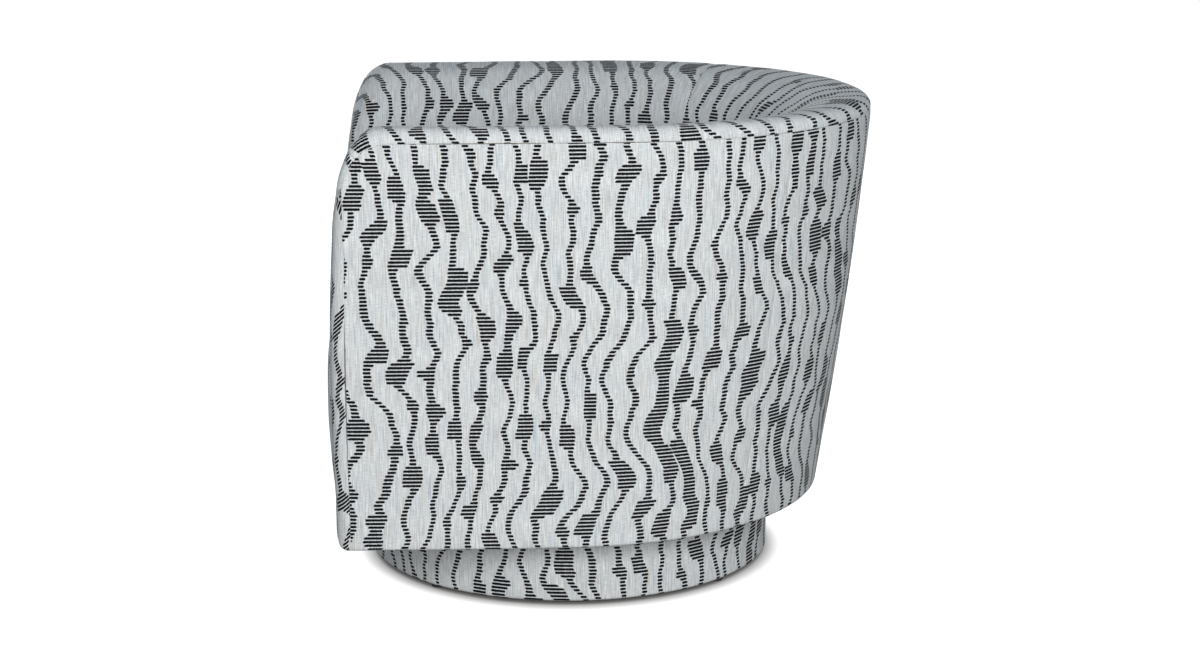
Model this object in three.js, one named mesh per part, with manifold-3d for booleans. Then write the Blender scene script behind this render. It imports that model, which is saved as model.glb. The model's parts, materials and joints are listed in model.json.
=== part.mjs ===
// Swivel barrel chair: an upholstered tub with a raked round back that turns on a ball bearing
// set in a round covered plinth. Millimetres, +Z up, the front of the chair faces -Y.
// Every place is worked out from the swivel axis; the last lines move the chair so that the
// origin lies on the floor under the middle of its overall length.
import * as THREE from "three";
import { mergeVertices } from "three/addons/utils/BufferGeometryUtils.js";
import Module from "manifold-3d";

const wasm = await Module();
wasm.setup();

// Clearances that every fit uses
const fitGap = 0.3;
const softGap = 0.5;
const seamGap = 0.8;
const overrun = 20;

// Tub, outside
const tubHalfWidth = 371;
const armToeIn = 8;
const tubFloorHeight = 108;
const rimSeamHeight = 651;
const frontSeamY = -313;
const footBackY = 360;
const rimBackY = 430;
const backBow = 9;
const panelThickness = 8;
const panelCornerRadius = 61;
const panelHemRadius = 5;
const outsideSeamAngle = THREE.MathUtils.degToRad(37);
const insideSeamAngle = THREE.MathUtils.degToRad(32);

// Tub, padding
const armThickness = 116;
const backThickness = 142;
const frontPadReach = 18;
const frontPadEdgeRadius = 18;
const frontPadBow = 11;
const frontPadBowHeight = 420;
const frontPadBowSpan = 205;
const frontPadBowDepth = 110;
const frontCornerDepth = 72;
const frontCornerDrop = 88;
const rimOuterRise = 17;
const rimRollDrop = 84;
const rimCrownShare = 0.3;
const insideCrown = 8;
const insideCrownFoot = 440;

// Seat
const seatFrontProud = 28;
const seatTopHeight = 440;
const seatDepth = 140;
const seatCrown = 7;
const seatEdgeDrop = 26;
const seatNoseDepth = 70;
const seatNoseDrop = 126;
const seatSideEdgeRadius = 22;
const seatApronGap = 4;
const seatApronBow = 10;
const seatApronBowHeight = 275;

// Timber frame of the tub
const frameDepth = 60;
const floorBoardThickness = 30;
const topRailHeight = 50;
const postWidth = 34;
const frontPostWidth = 72;
const armPostY = -90;
const rearPostAngle = THREE.MathUtils.degToRad(20);
const backPostAngle = THREE.MathUtils.degToRad(55);
const linerThickness = 3;
const seatRailHeight = 70;
const seatRailThickness = 30;
const frontRailThickness = 22;
const cornerBlockLeg = 60;
const cornerBlockHeight = 44;
const cornerBlockDrop = 8;
const dustCoverThickness = 1;

// Springs and deck
const springWireDiameter = 4;
const springWaveWidth = 46;
const springWavePitch = 44;
const springSideMargin = 96.4;
const springCount = 5;
const springEndBearing = 9;
const springTailShare = 0.1;
const clipLength = 14;
const clipWidth = 20;
const deckThickness = 3;

// Swivel bearing
const ballDiameter = 10;
const ballCount = 14;
const raceRadius = 80;
const raceConformity = 0.4;
const plateThickness = 2.5;
const plateRadius = 118;
const raceShoulderWidth = 9;
const raceShoulderRise = 3;
const plateWebWidth = 6;
const hubRadius = 32;
const hubRise = 4.8;
const kingpinRadius = 6;
const kingpinHeadRadius = 13;
const kingpinHeadThickness = 3;
const kingpinWasherRadius = 16;
const cageThickness = 1.2;
const cageWidth = 22;
const plateScrewCircle = 106;
const plateScrewCount = 4;
const plateScrewRadius = 2.2;
const plateScrewHeadRadius = 4.6;
const plateScrewHeadHeight = 2.4;
const plateScrewLength = 15;
// The upper plate's screws sit between the lower plate's
const screwTurn = Math.PI / plateScrewCount;

// Board and bearers between the bearing and the tub
const mountBoardSide = 300;
const mountBoardCornerRadius = 30;
const mountBoardThickness = 18;
const mountBoardDrop = 7.7;
const bearerOffset = 108;
const bearerWidth = 62;
const boardBoltOffset = 108;
const boardBoltRadius = 4;
const boardBoltHeadRadius = 9;
const boardBoltHeadHeight = 3;
const boardBoltLength = 34;

// Plinth
const plinthRadius = 290;
const plinthGap = 7;
const plinthCoverThickness = 3.5;
const plinthCoverEdgeRadius = 4;
const plinthRingThickness = 20;
const plinthBoardThickness = 18;
const plinthCoverTurnIn = 30;
const cleatCount = 4;
const cleatHeight = 30;
const cleatDepth = 26;
const cleatArc = THREE.MathUtils.degToRad(20);
const glideCount = 4;
const glideRadius = 9.5;
const glideHeight = 5;

// Facet counts
const plinthSides = 48;
const bearingSides = 36;
const ballSides = 8;
const screwSides = 8;
const wireSides = 4;
const armSteps = 4;
const shellArmSteps = 3;
const panelCornerSteps = 5;
const padCornerSteps = 8;
const railHeightSteps = 1;
const frontPostHeightSteps = 2;
const cavityHeightSteps = 3;
const wallHeightSteps = 4;
const panelHeightSteps = 6;
const arcStep = THREE.MathUtils.degToRad(5);
const gridSnapShare = 0.08;

// Heights and places that follow from the sizes above
const plinthTopHeight = tubFloorHeight - plinthGap;
const rimCrownHeight = rimSeamHeight + rimOuterRise;
const seatRailTop = seatTopHeight - seatDepth;
const seatFrontReach = seatFrontProud - frontSeamY;
const seatApronThickness = seatFrontProud - seatApronGap;
const plinthRingTop = plinthTopHeight - plinthCoverThickness - fitGap;
const mountBoardFoot = tubFloorHeight - mountBoardDrop;
const mountBoardTop = mountBoardFoot + mountBoardThickness;
const bearingHalfHeight = ballDiameter / 2 + raceConformity + raceShoulderRise;
const upperPlateTop = mountBoardFoot - fitGap;
const raceCentreHeight = upperPlateTop - bearingHalfHeight;
const lowerPlateFoot = raceCentreHeight - bearingHalfHeight;
const plinthBoardTop = lowerPlateFoot - fitGap;
const floorBoardFoot = tubFloorHeight + dustCoverThickness;
const floorBoardTop = floorBoardFoot + floorBoardThickness;
const topRailTop = rimSeamHeight - fitGap;
const topRailFoot = topRailTop - topRailHeight;
const frameInset = panelThickness + fitGap;
const frameInnerInset = frameInset + frameDepth;
const linerInset = frameInnerInset + fitGap;
const padInset = linerInset + linerThickness + softGap;
const padFoot = seatRailTop + fitGap;
const deckFoot = seatRailTop + springWireDiameter + 2 * fitGap;
const seatPadFoot = deckFoot + deckThickness + fitGap;
const armFrontY = frontSeamY - frontPadReach;
const springReach = tubHalfWidth - linerInset - seatRailThickness - springSideMargin;
const springSpacing = (2 * springReach) / (springCount - 1);

// How far behind the axis the outside of the back lies at a height: raked and slightly bowed
function backReach(height) {
  const span = rimSeamHeight - tubFloorHeight;
  const t = THREE.MathUtils.clamp((height - tubFloorHeight) / span, 0, 1);
  return THREE.MathUtils.lerp(footBackY, rimBackY, t) + backBow * 4 * t * (1 - t);
}

// Centre of the round back at a height
function backCentre(height) {
  return backReach(height) - tubHalfWidth;
}

// Thickness of the padded wall at an angle round the back; it is thickest at the middle
function wallThickness(angle) {
  const swell = Math.sin(angle) ** 2;
  return THREE.MathUtils.lerp(armThickness, backThickness, swell);
}

// How far a rounded edge falls back at a distance from its end, as a quarter ellipse
function roundedFall(distance, depth, fall) {
  const left = THREE.MathUtils.clamp(1 - distance / depth, 0, 1);
  return fall * (1 - Math.sqrt(1 - left * left));
}

// Half width of the tub, less an inset, at a place along the straight arms
function armHalfWidth(y, inset, height) {
  const centre = backCentre(height);
  const run = Math.max(0, (centre - y) / (centre - frontSeamY));
  return tubHalfWidth - inset - armToeIn * run * run;
}

// Half width of the space inside an inset at any y
function halfWidthInside(y, inset, height) {
  const centre = backCentre(height);
  if (y <= centre) {
    return armHalfWidth(y, inset, height);
  }
  const radius = tubHalfWidth - inset;
  return Math.sqrt(Math.max(0, radius * radius - (y - centre) * (y - centre)));
}

// A point of the wall. A station is a place on an arm, as a y or as a share of the way from a y
// to the start of the round back, or an angle round the back from the arm at +X
function wallPoint(station, inset, height) {
  const centre = backCentre(height);
  if (station.angle !== undefined) {
    const radius = tubHalfWidth - inset;
    const x = radius * Math.cos(station.angle);
    return new THREE.Vector3(x, centre + radius * Math.sin(station.angle), height);
  }
  const share = station.share ?? 0;
  const y = THREE.MathUtils.lerp(station.y, centre, share);
  return new THREE.Vector3(station.side * armHalfWidth(y, inset, height), y, height);
}

// Stations along one arm, from a front y to the start of the round back
function armStations(side, frontY, count) {
  const stations = [];
  for (let i = 0; i < count; i += 1) {
    stations.push({ side, y: frontY, share: i / count });
  }
  return stations;
}

// Stations round the back between two angles, on one grid that all the shells share
function arcStations(from, to) {
  const low = Math.min(from, to);
  const high = Math.max(from, to);
  const angles = [low];
  for (let i = Math.ceil(low / arcStep); i * arcStep < high; i += 1) {
    const near = arcStep * gridSnapShare;
    if (i * arcStep > low + near && i * arcStep < high - near) {
      angles.push(i * arcStep);
    }
  }
  angles.push(high);
  const stations = angles.map((angle) => ({ angle }));
  return from > to ? stations.reverse() : stations;
}

// Stations of one arm whose front end is rounded: close together at the front
function roundedArmStations(side, frontY, depth, roundCount, armCount) {
  const stations = [];
  for (let i = 0; i < roundCount; i += 1) {
    const turn = (Math.PI / 2) * (i / roundCount);
    stations.push({ side, y: frontY + depth * (1 - Math.cos(turn)) });
  }
  return stations.concat(armStations(side, frontY + depth, armCount));
}

// Adds the start of the round back and the arc up to an angle behind the stations of an arm
function throughArc(side, stations, angle) {
  const start = side > 0 ? 0 : Math.PI;
  const end = side > 0 ? angle : Math.PI - angle;
  return stations.concat(arcStations(start, end));
}

// A whole run of stations, round the tub from the arm at +X to the arm at -X
function wholeRun(frontY, armCount) {
  const right = armStations(1, frontY, armCount);
  const left = armStations(-1, frontY, armCount).reverse();
  return [...right, ...arcStations(0, Math.PI), ...left];
}

// Whether a station stands at a fixed y, as those of a rounded front do
function atRoundedFront(station) {
  return station.y !== undefined && !station.share;
}

// The angle of a station, for the thickness of the wall there
function stationAngle(station) {
  return station.angle ?? 0;
}

// A closed body through rings of points, with flat ends; the faces are turned outwards
function loft(rings) {
  const ringSize = rings[0].length;
  const positions = rings.flat().flatMap((point) => [point.x, point.y, point.z]);
  const index = [];
  for (let i = 0; i + 1 < rings.length; i += 1) {
    for (let j = 0; j < ringSize; j += 1) {
      const next = (j + 1) % ringSize;
      const a = i * ringSize + j;
      const b = i * ringSize + next;
      index.push(a, b, b + ringSize, a, b + ringSize, a + ringSize);
    }
  }
  const last = (rings.length - 1) * ringSize;
  for (const [p, q, r] of capTriangles(rings[0])) {
    index.push(r, q, p);
  }
  for (const [p, q, r] of capTriangles(rings[rings.length - 1])) {
    index.push(last + p, last + q, last + r);
  }
  const geometry = new THREE.BufferGeometry();
  geometry.setAttribute("position", new THREE.Float32BufferAttribute(positions, 3));
  geometry.setIndex(index);
  return turnedOut(geometry);
}

// Triangles of a flat ring, wound as the ring runs
function capTriangles(ring) {
  const normal = new THREE.Vector3();
  for (let i = 0; i < ring.length; i += 1) {
    normal.add(new THREE.Vector3().crossVectors(ring[i], ring[(i + 1) % ring.length]));
  }
  normal.normalize();
  const along = new THREE.Vector3().subVectors(ring[1], ring[0]).normalize();
  const across = new THREE.Vector3().crossVectors(normal, along);
  const flat = ring.map((point) => new THREE.Vector2(point.dot(along), point.dot(across)));
  return THREE.ShapeUtils.triangulateShape(flat, []);
}

// The same body with its faces pointing out
function turnedOut(geometry) {
  const position = geometry.getAttribute("position");
  const index = geometry.getIndex().array;
  const corners = [new THREE.Vector3(), new THREE.Vector3(), new THREE.Vector3()];
  let volume = 0;
  for (let i = 0; i < index.length; i += 3) {
    corners.forEach((corner, k) => corner.fromBufferAttribute(position, index[i + k]));
    volume += corners[0].dot(corners[1].clone().cross(corners[2]));
  }
  if (volume < 0) {
    for (let i = 0; i < index.length; i += 3) {
      [index[i], index[i + 1]] = [index[i + 1], index[i]];
    }
  }
  geometry.computeVertexNormals();
  return geometry;
}

// A body along the wall: the section of each station is a list of [inset, height]
function wallBody(stations, sectionAt) {
  const rings = stations.map((station) =>
    sectionAt(station).map(([inset, height]) => wallPoint(station, inset, height)),
  );
  return loft(rings);
}

// A section with straight sides between two insets, with steps in height that follow the bow
function slabSection(inner, outer, foot, top, steps) {
  const up = [];
  const down = [];
  for (let i = 0; i <= steps; i += 1) {
    const height = THREE.MathUtils.lerp(foot, top, i / steps);
    up.push([outer, height]);
    down.unshift([inner, height]);
  }
  return [...up, ...down];
}

// Merged, so that shared corners are one point each
function welded(geometry) {
  const plain = geometry.clone();
  plain.deleteAttribute("normal");
  plain.deleteAttribute("uv");
  return mergeVertices(plain);
}

function toManifold(geometry) {
  const plain = welded(geometry);
  const vertProperties = new Float32Array(plain.getAttribute("position").array);
  const triVerts = new Uint32Array(plain.getIndex().array);
  return new wasm.Manifold(new wasm.Mesh({ numProp: 3, vertProperties, triVerts }));
}

function fromManifold(solid) {
  const mesh = solid.getMesh();
  const geometry = new THREE.BufferGeometry();
  geometry.setAttribute("position", new THREE.Float32BufferAttribute(mesh.vertProperties, 3));
  geometry.setIndex([...mesh.triVerts]);
  geometry.computeVertexNormals();
  return geometry;
}

// A body less the bodies that are cut from it
function cutBy(geometry, cutters) {
  let solid = toManifold(geometry);
  for (const cutter of cutters) {
    solid = solid.subtract(toManifold(cutter));
  }
  return fromManifold(solid);
}

// One solid made of pieces that are glued, nailed or caged together
function joined(geometries) {
  const solids = geometries.map(toManifold);
  return fromManifold(solids.reduce((whole, next) => whole.add(next)));
}

// An upright cylinder that stands on a height
function post(radius, foot, height, sides, x = 0, y = 0) {
  const cylinder = new THREE.CylinderGeometry(radius, radius, height, sides);
  cylinder.rotateX(Math.PI / 2);
  cylinder.translate(x, y, foot + height / 2);
  return cylinder;
}

function block(width, depth, height, x, y, foot) {
  const box = new THREE.BoxGeometry(width, depth, height);
  box.translate(x, y, foot + height / 2);
  return box;
}

// A ring or disc turned about the swivel axis from a profile of [radius, height]
function turned(profile, sides = bearingSides) {
  const points = profile.map(([radius, height]) => new THREE.Vector2(radius, height));
  const lathe = new THREE.LatheGeometry([...points, points[0]], sides);
  lathe.rotateX(Math.PI / 2);
  return turnedOut(welded(lathe));
}

// Places spread evenly round a circle
function aroundCircle(count, radius, start = 0) {
  const places = [];
  for (let i = 0; i < count; i += 1) {
    const angle = start + (2 * Math.PI * i) / count;
    places.push({ x: radius * Math.cos(angle), y: radius * Math.sin(angle), angle });
  }
  return places;
}

const palette = {
  fabric: { color: 0xbfc3c6, roughness: 0.92, metalness: 0 },
  timber: { color: 0xc49a63, roughness: 0.7, metalness: 0 },
  plywood: { color: 0xcdaa78, roughness: 0.72, metalness: 0 },
  steel: { color: 0x8d9093, roughness: 0.35, metalness: 0.95 },
  springSteel: { color: 0x55585c, roughness: 0.4, metalness: 0.9 },
  zinc: { color: 0xb4b7ba, roughness: 0.3, metalness: 0.95 },
  nylon: { color: 0x2b2c2e, roughness: 0.5, metalness: 0 },
  cloth: { color: 0x202124, roughness: 0.95, metalness: 0 },
  board: { color: 0xa68f6a, roughness: 0.9, metalness: 0 },
};

const chair = new THREE.Group();

// Adds one named piece of the chair
function add(name, finish, geometry) {
  const material = new THREE.MeshStandardMaterial(palette[finish]);
  const mesh = new THREE.Mesh(geometry, material);
  mesh.name = name;
  chair.add(mesh);
}

// One nylon glide under the plinth ring
function floorGlide({ x, y }) {
  return post(glideRadius, 0, glideHeight, screwSides * 2, x, y);
}

function glidePlaces() {
  const circle = plinthInnerRadius() + plinthRingThickness / 2;
  return aroundCircle(glideCount, circle, Math.PI / glideCount);
}

// Bent timber ring of the plinth
function plinthRing() {
  const outer = plinthRadius - plinthCoverThickness - fitGap;
  const inner = outer - plinthRingThickness;
  const foot = glideHeight + fitGap;
  const profile = [[inner, foot], [outer, foot], [outer, plinthRingTop], [inner, plinthRingTop]];
  return turned(profile, plinthSides);
}

function plinthInnerRadius() {
  return plinthRadius - plinthCoverThickness - fitGap - plinthRingThickness;
}

// Round board that closes the plinth and carries the bearing, with pilot holes for its screws and
// the blocks glued under it that fix it to the ring
function plinthTopBoard() {
  const radius = plinthInnerRadius() - fitGap;
  const foot = plinthBoardTop - plinthBoardThickness;
  const board = post(radius, foot, plinthBoardThickness, plinthSides);
  const depth = plateScrewLength - plateThickness + fitGap;
  const pilot = plateScrewRadius + fitGap;
  const holes = aroundCircle(plateScrewCount, plateScrewCircle).map(({ x, y }) =>
    post(pilot, plinthBoardTop - depth, depth + overrun, screwSides, x, y),
  );
  return cutBy(joined([board, ...plinthCleats()]), holes);
}

// Blocks inside the ring, let into the board above them by half its thickness
function plinthCleats() {
  const facetInset = plinthInnerRadius() * Math.cos(Math.PI / plinthSides);
  const outer = facetInset - fitGap;
  const inner = plinthInnerRadius() - cleatDepth;
  const boardFoot = plinthBoardTop - plinthBoardThickness;
  const depth = cleatHeight + plinthBoardThickness / 2;
  return aroundCircle(cleatCount, 1).map(({ angle }) => {
    const shape = new THREE.Shape();
    shape.absarc(0, 0, outer, angle - cleatArc / 2, angle + cleatArc / 2, false);
    shape.absarc(0, 0, inner, angle + cleatArc / 2, angle - cleatArc / 2, true);
    const body = new THREE.ExtrudeGeometry(shape, {
      depth,
      bevelEnabled: false,
      curveSegments: 4,
    });
    body.translate(0, 0, boardFoot - cleatHeight);
    return body;
  });
}

// Padded cover of the plinth, drawn over its upper edge
function plinthCover() {
  const outer = plinthRadius;
  const inner = outer - plinthCoverThickness;
  const turnIn = outer - plinthCoverTurnIn;
  const foot = glideHeight;
  const profile = [[inner, foot], [outer, foot]];
  const steps = 4;
  for (let i = 0; i <= steps; i += 1) {
    const turn = (Math.PI / 2) * (i / steps);
    const x = outer - plinthCoverEdgeRadius * (1 - Math.cos(turn));
    const z = plinthTopHeight - plinthCoverEdgeRadius * (1 - Math.sin(turn));
    profile.push([x, z]);
  }
  const lipFoot = plinthTopHeight - plinthCoverThickness;
  profile.push([turnIn, plinthTopHeight], [turnIn, lipFoot], [inner, lipFoot]);
  return turned(profile, plinthSides);
}

// Section of a pressed bearing plate above the race's centre, from the hole outwards
function plateProfile() {
  const groove = ballDiameter / 2 + raceConformity;
  const top = bearingHalfHeight;
  const face = top - plateThickness;
  const shoulder = groove - raceShoulderRise;
  const hole = kingpinRadius + fitGap;
  const hub = face - hubRise;
  const rimIn = raceRadius - raceShoulderWidth;
  const rimOut = raceRadius + raceShoulderWidth;
  const lower = [
    [hole, hub],
    [hubRadius, hub],
    [hubRadius + plateWebWidth, face],
    [rimIn - plateWebWidth, face],
    [rimIn, shoulder],
  ];
  const grooveSteps = 4;
  const reach = Math.sqrt(groove * groove - shoulder * shoulder);
  const from = Math.atan2(shoulder, -reach);
  const to = Math.atan2(shoulder, reach);
  for (let i = 0; i <= grooveSteps; i += 1) {
    const turn = THREE.MathUtils.lerp(from, to, i / grooveSteps);
    lower.push([raceRadius + groove * Math.cos(turn), groove * Math.sin(turn)]);
  }
  lower.push([rimOut, shoulder], [rimOut + plateWebWidth, face], [plateRadius, face]);
  const crest = raceShoulderWidth / 2;
  const upper = [
    [plateRadius, top],
    [rimOut + plateWebWidth - plateThickness / 2, top],
    [rimOut - plateThickness / 2, shoulder + plateThickness],
    [raceRadius + crest + plateThickness / 2, top],
    [raceRadius - crest - plateThickness / 2, top],
    [rimIn + plateThickness / 2, shoulder + plateThickness],
    [rimIn - plateWebWidth + plateThickness / 2, top],
    [hubRadius + plateWebWidth - plateThickness / 2, top],
    [hubRadius - plateThickness / 2, hub + plateThickness],
    [hole, hub + plateThickness],
  ];
  return [...lower, ...upper];
}

// One pressed plate with its race; a way of 1 opens it downwards, -1 upwards
function bearingPlate(way, startAngle) {
  const profile = plateProfile().map(([radius, z]) => [radius, raceCentreHeight + way * z]);
  const plate = turned(profile);
  const holeFoot = way > 0 ? upperPlateTop - plateThickness - overrun : lowerPlateFoot - overrun;
  const holes = aroundCircle(plateScrewCount, plateScrewCircle, startAngle).map(({ x, y }) =>
    post(plateScrewRadius + fitGap, holeFoot, 2 * overrun + plateThickness, screwSides, x, y),
  );
  return cutBy(plate, holes);
}

// A round-headed screw that points down from a seat height, or up with a way of -1
function screw(x, y, seat, way, radius, headRadius, headHeight, length) {
  const gap = fitGap / 2;
  const lathe = [
    [0, -length],
    [radius, -length],
    [radius, gap],
    [headRadius, gap],
    [headRadius, gap + headHeight / 2],
    [headRadius / 2, gap + headHeight],
    [0, gap + headHeight],
  ];
  const points = lathe.map(([r, z]) => new THREE.Vector2(r, way * z));
  const body = new THREE.LatheGeometry(points, screwSides);
  body.rotateX(Math.PI / 2);
  body.translate(x, y, seat);
  return turnedOut(welded(body));
}

function plateScrew(way, seat, { x, y }) {
  return screw(
    x,
    y,
    seat,
    way,
    plateScrewRadius,
    plateScrewHeadRadius,
    plateScrewHeadHeight,
    plateScrewLength,
  );
}

// Rivet that holds the two plates together: two heads on one shank
function kingpin() {
  const hubFace = bearingHalfHeight - plateThickness - hubRise;
  const seat = hubFace + plateThickness + fitGap;
  const top = seat + kingpinHeadThickness;
  const profile = [
    [0, -top],
    [kingpinHeadRadius, -top],
    [kingpinHeadRadius, -seat],
    [kingpinRadius, -seat],
    [kingpinRadius, seat],
    [kingpinHeadRadius, seat],
    [kingpinHeadRadius, top],
    [0, top],
  ];
  const points = profile.map(([r, z]) => new THREE.Vector2(r, z));
  const body = new THREE.LatheGeometry(points, screwSides * 2);
  body.rotateX(Math.PI / 2);
  body.translate(0, 0, raceCentreHeight);
  return turnedOut(welded(body));
}

function kingpinWasher() {
  const half = bearingHalfHeight - plateThickness - hubRise - fitGap;
  const inner = kingpinRadius + fitGap;
  const foot = raceCentreHeight - half;
  const top = raceCentreHeight + half;
  const outer = kingpinWasherRadius;
  return turned([[inner, foot], [outer, foot], [outer, top], [inner, top]], screwSides * 2);
}

// Flat ring with the balls caught in its pockets
function ballCage() {
  const foot = raceCentreHeight - cageThickness / 2;
  const top = raceCentreHeight + cageThickness / 2;
  const inner = raceRadius - cageWidth / 2;
  const outer = raceRadius + cageWidth / 2;
  const ring = turned([[inner, foot], [outer, foot], [outer, top], [inner, top]]);
  const balls = aroundCircle(ballCount, raceRadius).map(({ x, y }) => {
    const ball = new THREE.SphereGeometry(ballDiameter / 2, ballSides, ballSides / 2 + 1);
    ball.rotateX(Math.PI / 2);
    ball.translate(x, y, raceCentreHeight);
    return ball;
  });
  return joined([ring, ...balls]);
}

// Square board under the tub that the upper plate is screwed to
function mountBoard() {
  const half = mountBoardSide / 2;
  const corner = mountBoardCornerRadius;
  const shape = new THREE.Shape();
  shape.moveTo(-half + corner, -half);
  shape.lineTo(half - corner, -half);
  shape.absarc(half - corner, -half + corner, corner, -Math.PI / 2, 0, false);
  shape.lineTo(half, half - corner);
  shape.absarc(half - corner, half - corner, corner, 0, Math.PI / 2, false);
  shape.lineTo(-half + corner, half);
  shape.absarc(-half + corner, half - corner, corner, Math.PI / 2, Math.PI, false);
  shape.lineTo(-half, -half + corner);
  shape.absarc(-half + corner, -half + corner, corner, Math.PI, 1.5 * Math.PI, false);
  const board = new THREE.ExtrudeGeometry(shape, {
    depth: mountBoardThickness,
    bevelEnabled: false,
    curveSegments: 4,
  });
  board.translate(0, 0, mountBoardFoot);
  const depth = plateScrewLength - plateThickness + fitGap;
  const pilots = aroundCircle(plateScrewCount, plateScrewCircle, screwTurn).map(({ x, y }) =>
    post(plateScrewRadius + fitGap, mountBoardFoot - overrun, overrun + depth, screwSides, x, y),
  );
  return cutBy(board, [...pilots, ...boardBoltHoles()]);
}

function boardBoltPlaces() {
  const places = [];
  for (const x of [-boardBoltOffset, boardBoltOffset]) {
    for (const y of [-boardBoltOffset, boardBoltOffset]) {
      places.push({ x, y });
    }
  }
  return places;
}

function boardBoltHoles() {
  return boardBoltPlaces().map(({ x, y }) =>
    post(
      boardBoltRadius + fitGap,
      mountBoardFoot - overrun,
      overrun + boardBoltLength + fitGap,
      screwSides,
      x,
      y,
    ),
  );
}

function boardBolt({ x, y }) {
  return screw(
    x,
    y,
    mountBoardFoot,
    -1,
    boardBoltRadius,
    boardBoltHeadRadius,
    boardBoltHeadHeight,
    boardBoltLength,
  );
}

// Bearer across the tub's floor, between the two sides of the floor board
function crossBearer(y) {
  const foot = mountBoardTop + fitGap;
  const height = floorBoardTop - foot;
  const edges = [y - bearerWidth / 2, y + bearerWidth / 2];
  const reach = Math.min(...edges.map((edge) => halfWidthInside(edge, frameInnerInset, foot)));
  const body = block(2 * (reach - fitGap), bearerWidth, height, 0, y, foot);
  return cutBy(body, boardBoltHoles());
}

// Floor board of the tub, a U of laminated ply under its walls
function floorBoard() {
  const stations = wholeRun(frontSeamY + fitGap, armSteps);
  return wallBody(stations, () =>
    slabSection(frameInnerInset, frameInset, floorBoardFoot, floorBoardTop, railHeightSteps),
  );
}

// Rail that carries the springs, a U inside the walls with its ends behind the front rail
function seatRail() {
  const stations = wholeRun(frontSeamY + frontRailThickness + 2 * fitGap, armSteps);
  const inner = linerInset + seatRailThickness;
  const foot = seatRailTop - seatRailHeight;
  const rail = wallBody(stations, () =>
    slabSection(inner, linerInset, foot, seatRailTop, railHeightSteps),
  );
  const clips = springRuns().map(({ x, backY }) => springClip(x, backY, 1));
  return joined([rail, ...clips]);
}

// Front rail between the arms
function frontRail() {
  const y = frontSeamY + fitGap;
  const backY = y + frontRailThickness;
  const reach = Math.min(
    halfWidthInside(y, frameInnerInset, tubFloorHeight),
    halfWidthInside(backY, frameInnerInset, tubFloorHeight),
  );
  const height = seatRailTop - floorBoardFoot;
  const width = 2 * (reach - fitGap);
  const middleY = y + frontRailThickness / 2;
  const rail = block(width, frontRailThickness, height, 0, middleY, floorBoardFoot);
  const clips = springRuns().map(({ x, frontY }) => springClip(x, frontY, -1));
  return joined([rail, ...clips]);
}

// Clip nailed to a rail, just past the end of a spring
function springClip(x, endY, way) {
  const foot = seatRailTop - fitGap;
  const y = endY + way * (clipLength / 2 + fitGap);
  return block(clipWidth, clipLength, springWireDiameter, x, y, foot);
}

// Glue block in a corner between the front rail and the seat rail
function cornerBlock(side) {
  const backY = frontSeamY + frontRailThickness + 2 * fitGap;
  const foot = seatRailTop - cornerBlockDrop - cornerBlockHeight;
  const reach = halfWidthInside(backY, linerInset + seatRailThickness, foot) - 2 * fitGap;
  const shape = new THREE.Shape();
  shape.moveTo(side * reach, backY);
  shape.lineTo(side * (reach - cornerBlockLeg), backY);
  shape.lineTo(side * reach, backY + cornerBlockLeg);
  const body = new THREE.ExtrudeGeometry(shape, { depth: cornerBlockHeight, bevelEnabled: false });
  body.translate(0, 0, foot);
  return body;
}

// Front post of an arm, with the round corner that the padding is drawn over
function frontPost(side) {
  const frontY = frontSeamY + fitGap;
  const foot = floorBoardTop + fitGap;
  const radius = panelCornerRadius - fitGap;
  const stations = [];
  for (let i = 0; i <= panelCornerSteps; i += 1) {
    const turn = (Math.PI / 2) * (i / panelCornerSteps);
    stations.push({ side, y: frontY + radius * (1 - Math.cos(turn)) });
  }
  stations.push({ side, y: frontY + frontPostWidth });
  return wallBody(stations, (station) => {
    const top = topRailTop - roundedFall(station.y - frontY, radius, radius);
    return slabSection(frameInnerInset, frameInset, foot, top, frontPostHeightSteps);
  });
}

// Post between the floor board and the top rail
function wallPost(station) {
  const half = postWidth / 2;
  const turn = half / tubHalfWidth;
  const stations =
    station.angle === undefined
      ? [{ side: station.side, y: station.y - half }, { side: station.side, y: station.y + half }]
      : [{ angle: station.angle - turn }, { angle: station.angle + turn }];
  const foot = floorBoardTop + fitGap;
  const top = topRailFoot - fitGap;
  return wallBody(stations, () =>
    slabSection(frameInnerInset - softGap, frameInset + softGap, foot, top, wallHeightSteps),
  );
}

// Top rail, a U from one front post round to the other
function topRail() {
  const stations = wholeRun(frontSeamY + frontPostWidth + 2 * fitGap, armSteps);
  return wallBody(stations, () =>
    slabSection(frameInnerInset, frameInset, topRailFoot, topRailTop, railHeightSteps),
  );
}

// Fibre liner that backs the padding between the seat rail and the rim
function wallLiner() {
  const stations = wholeRun(frontSeamY + frontPostWidth / 2, armSteps);
  const inner = linerInset + linerThickness;
  return wallBody(stations, () =>
    slabSection(inner, linerInset, padFoot, topRailFoot, wallHeightSteps),
  );
}

// Outside panel between two runs of stations, with its hem turned under at the bottom
function outsideSection(top) {
  const foot = tubFloorHeight + panelHemRadius;
  const outer = [];
  const inner = [];
  for (let i = 0; i <= panelHeightSteps; i += 1) {
    const height = THREE.MathUtils.lerp(foot, top, i / panelHeightSteps);
    outer.push([0, height]);
    inner.unshift([panelThickness, height]);
  }
  const hem = [panelThickness, tubFloorHeight];
  return [hem, [panelHemRadius, tubFloorHeight], ...outer, ...inner];
}

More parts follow.
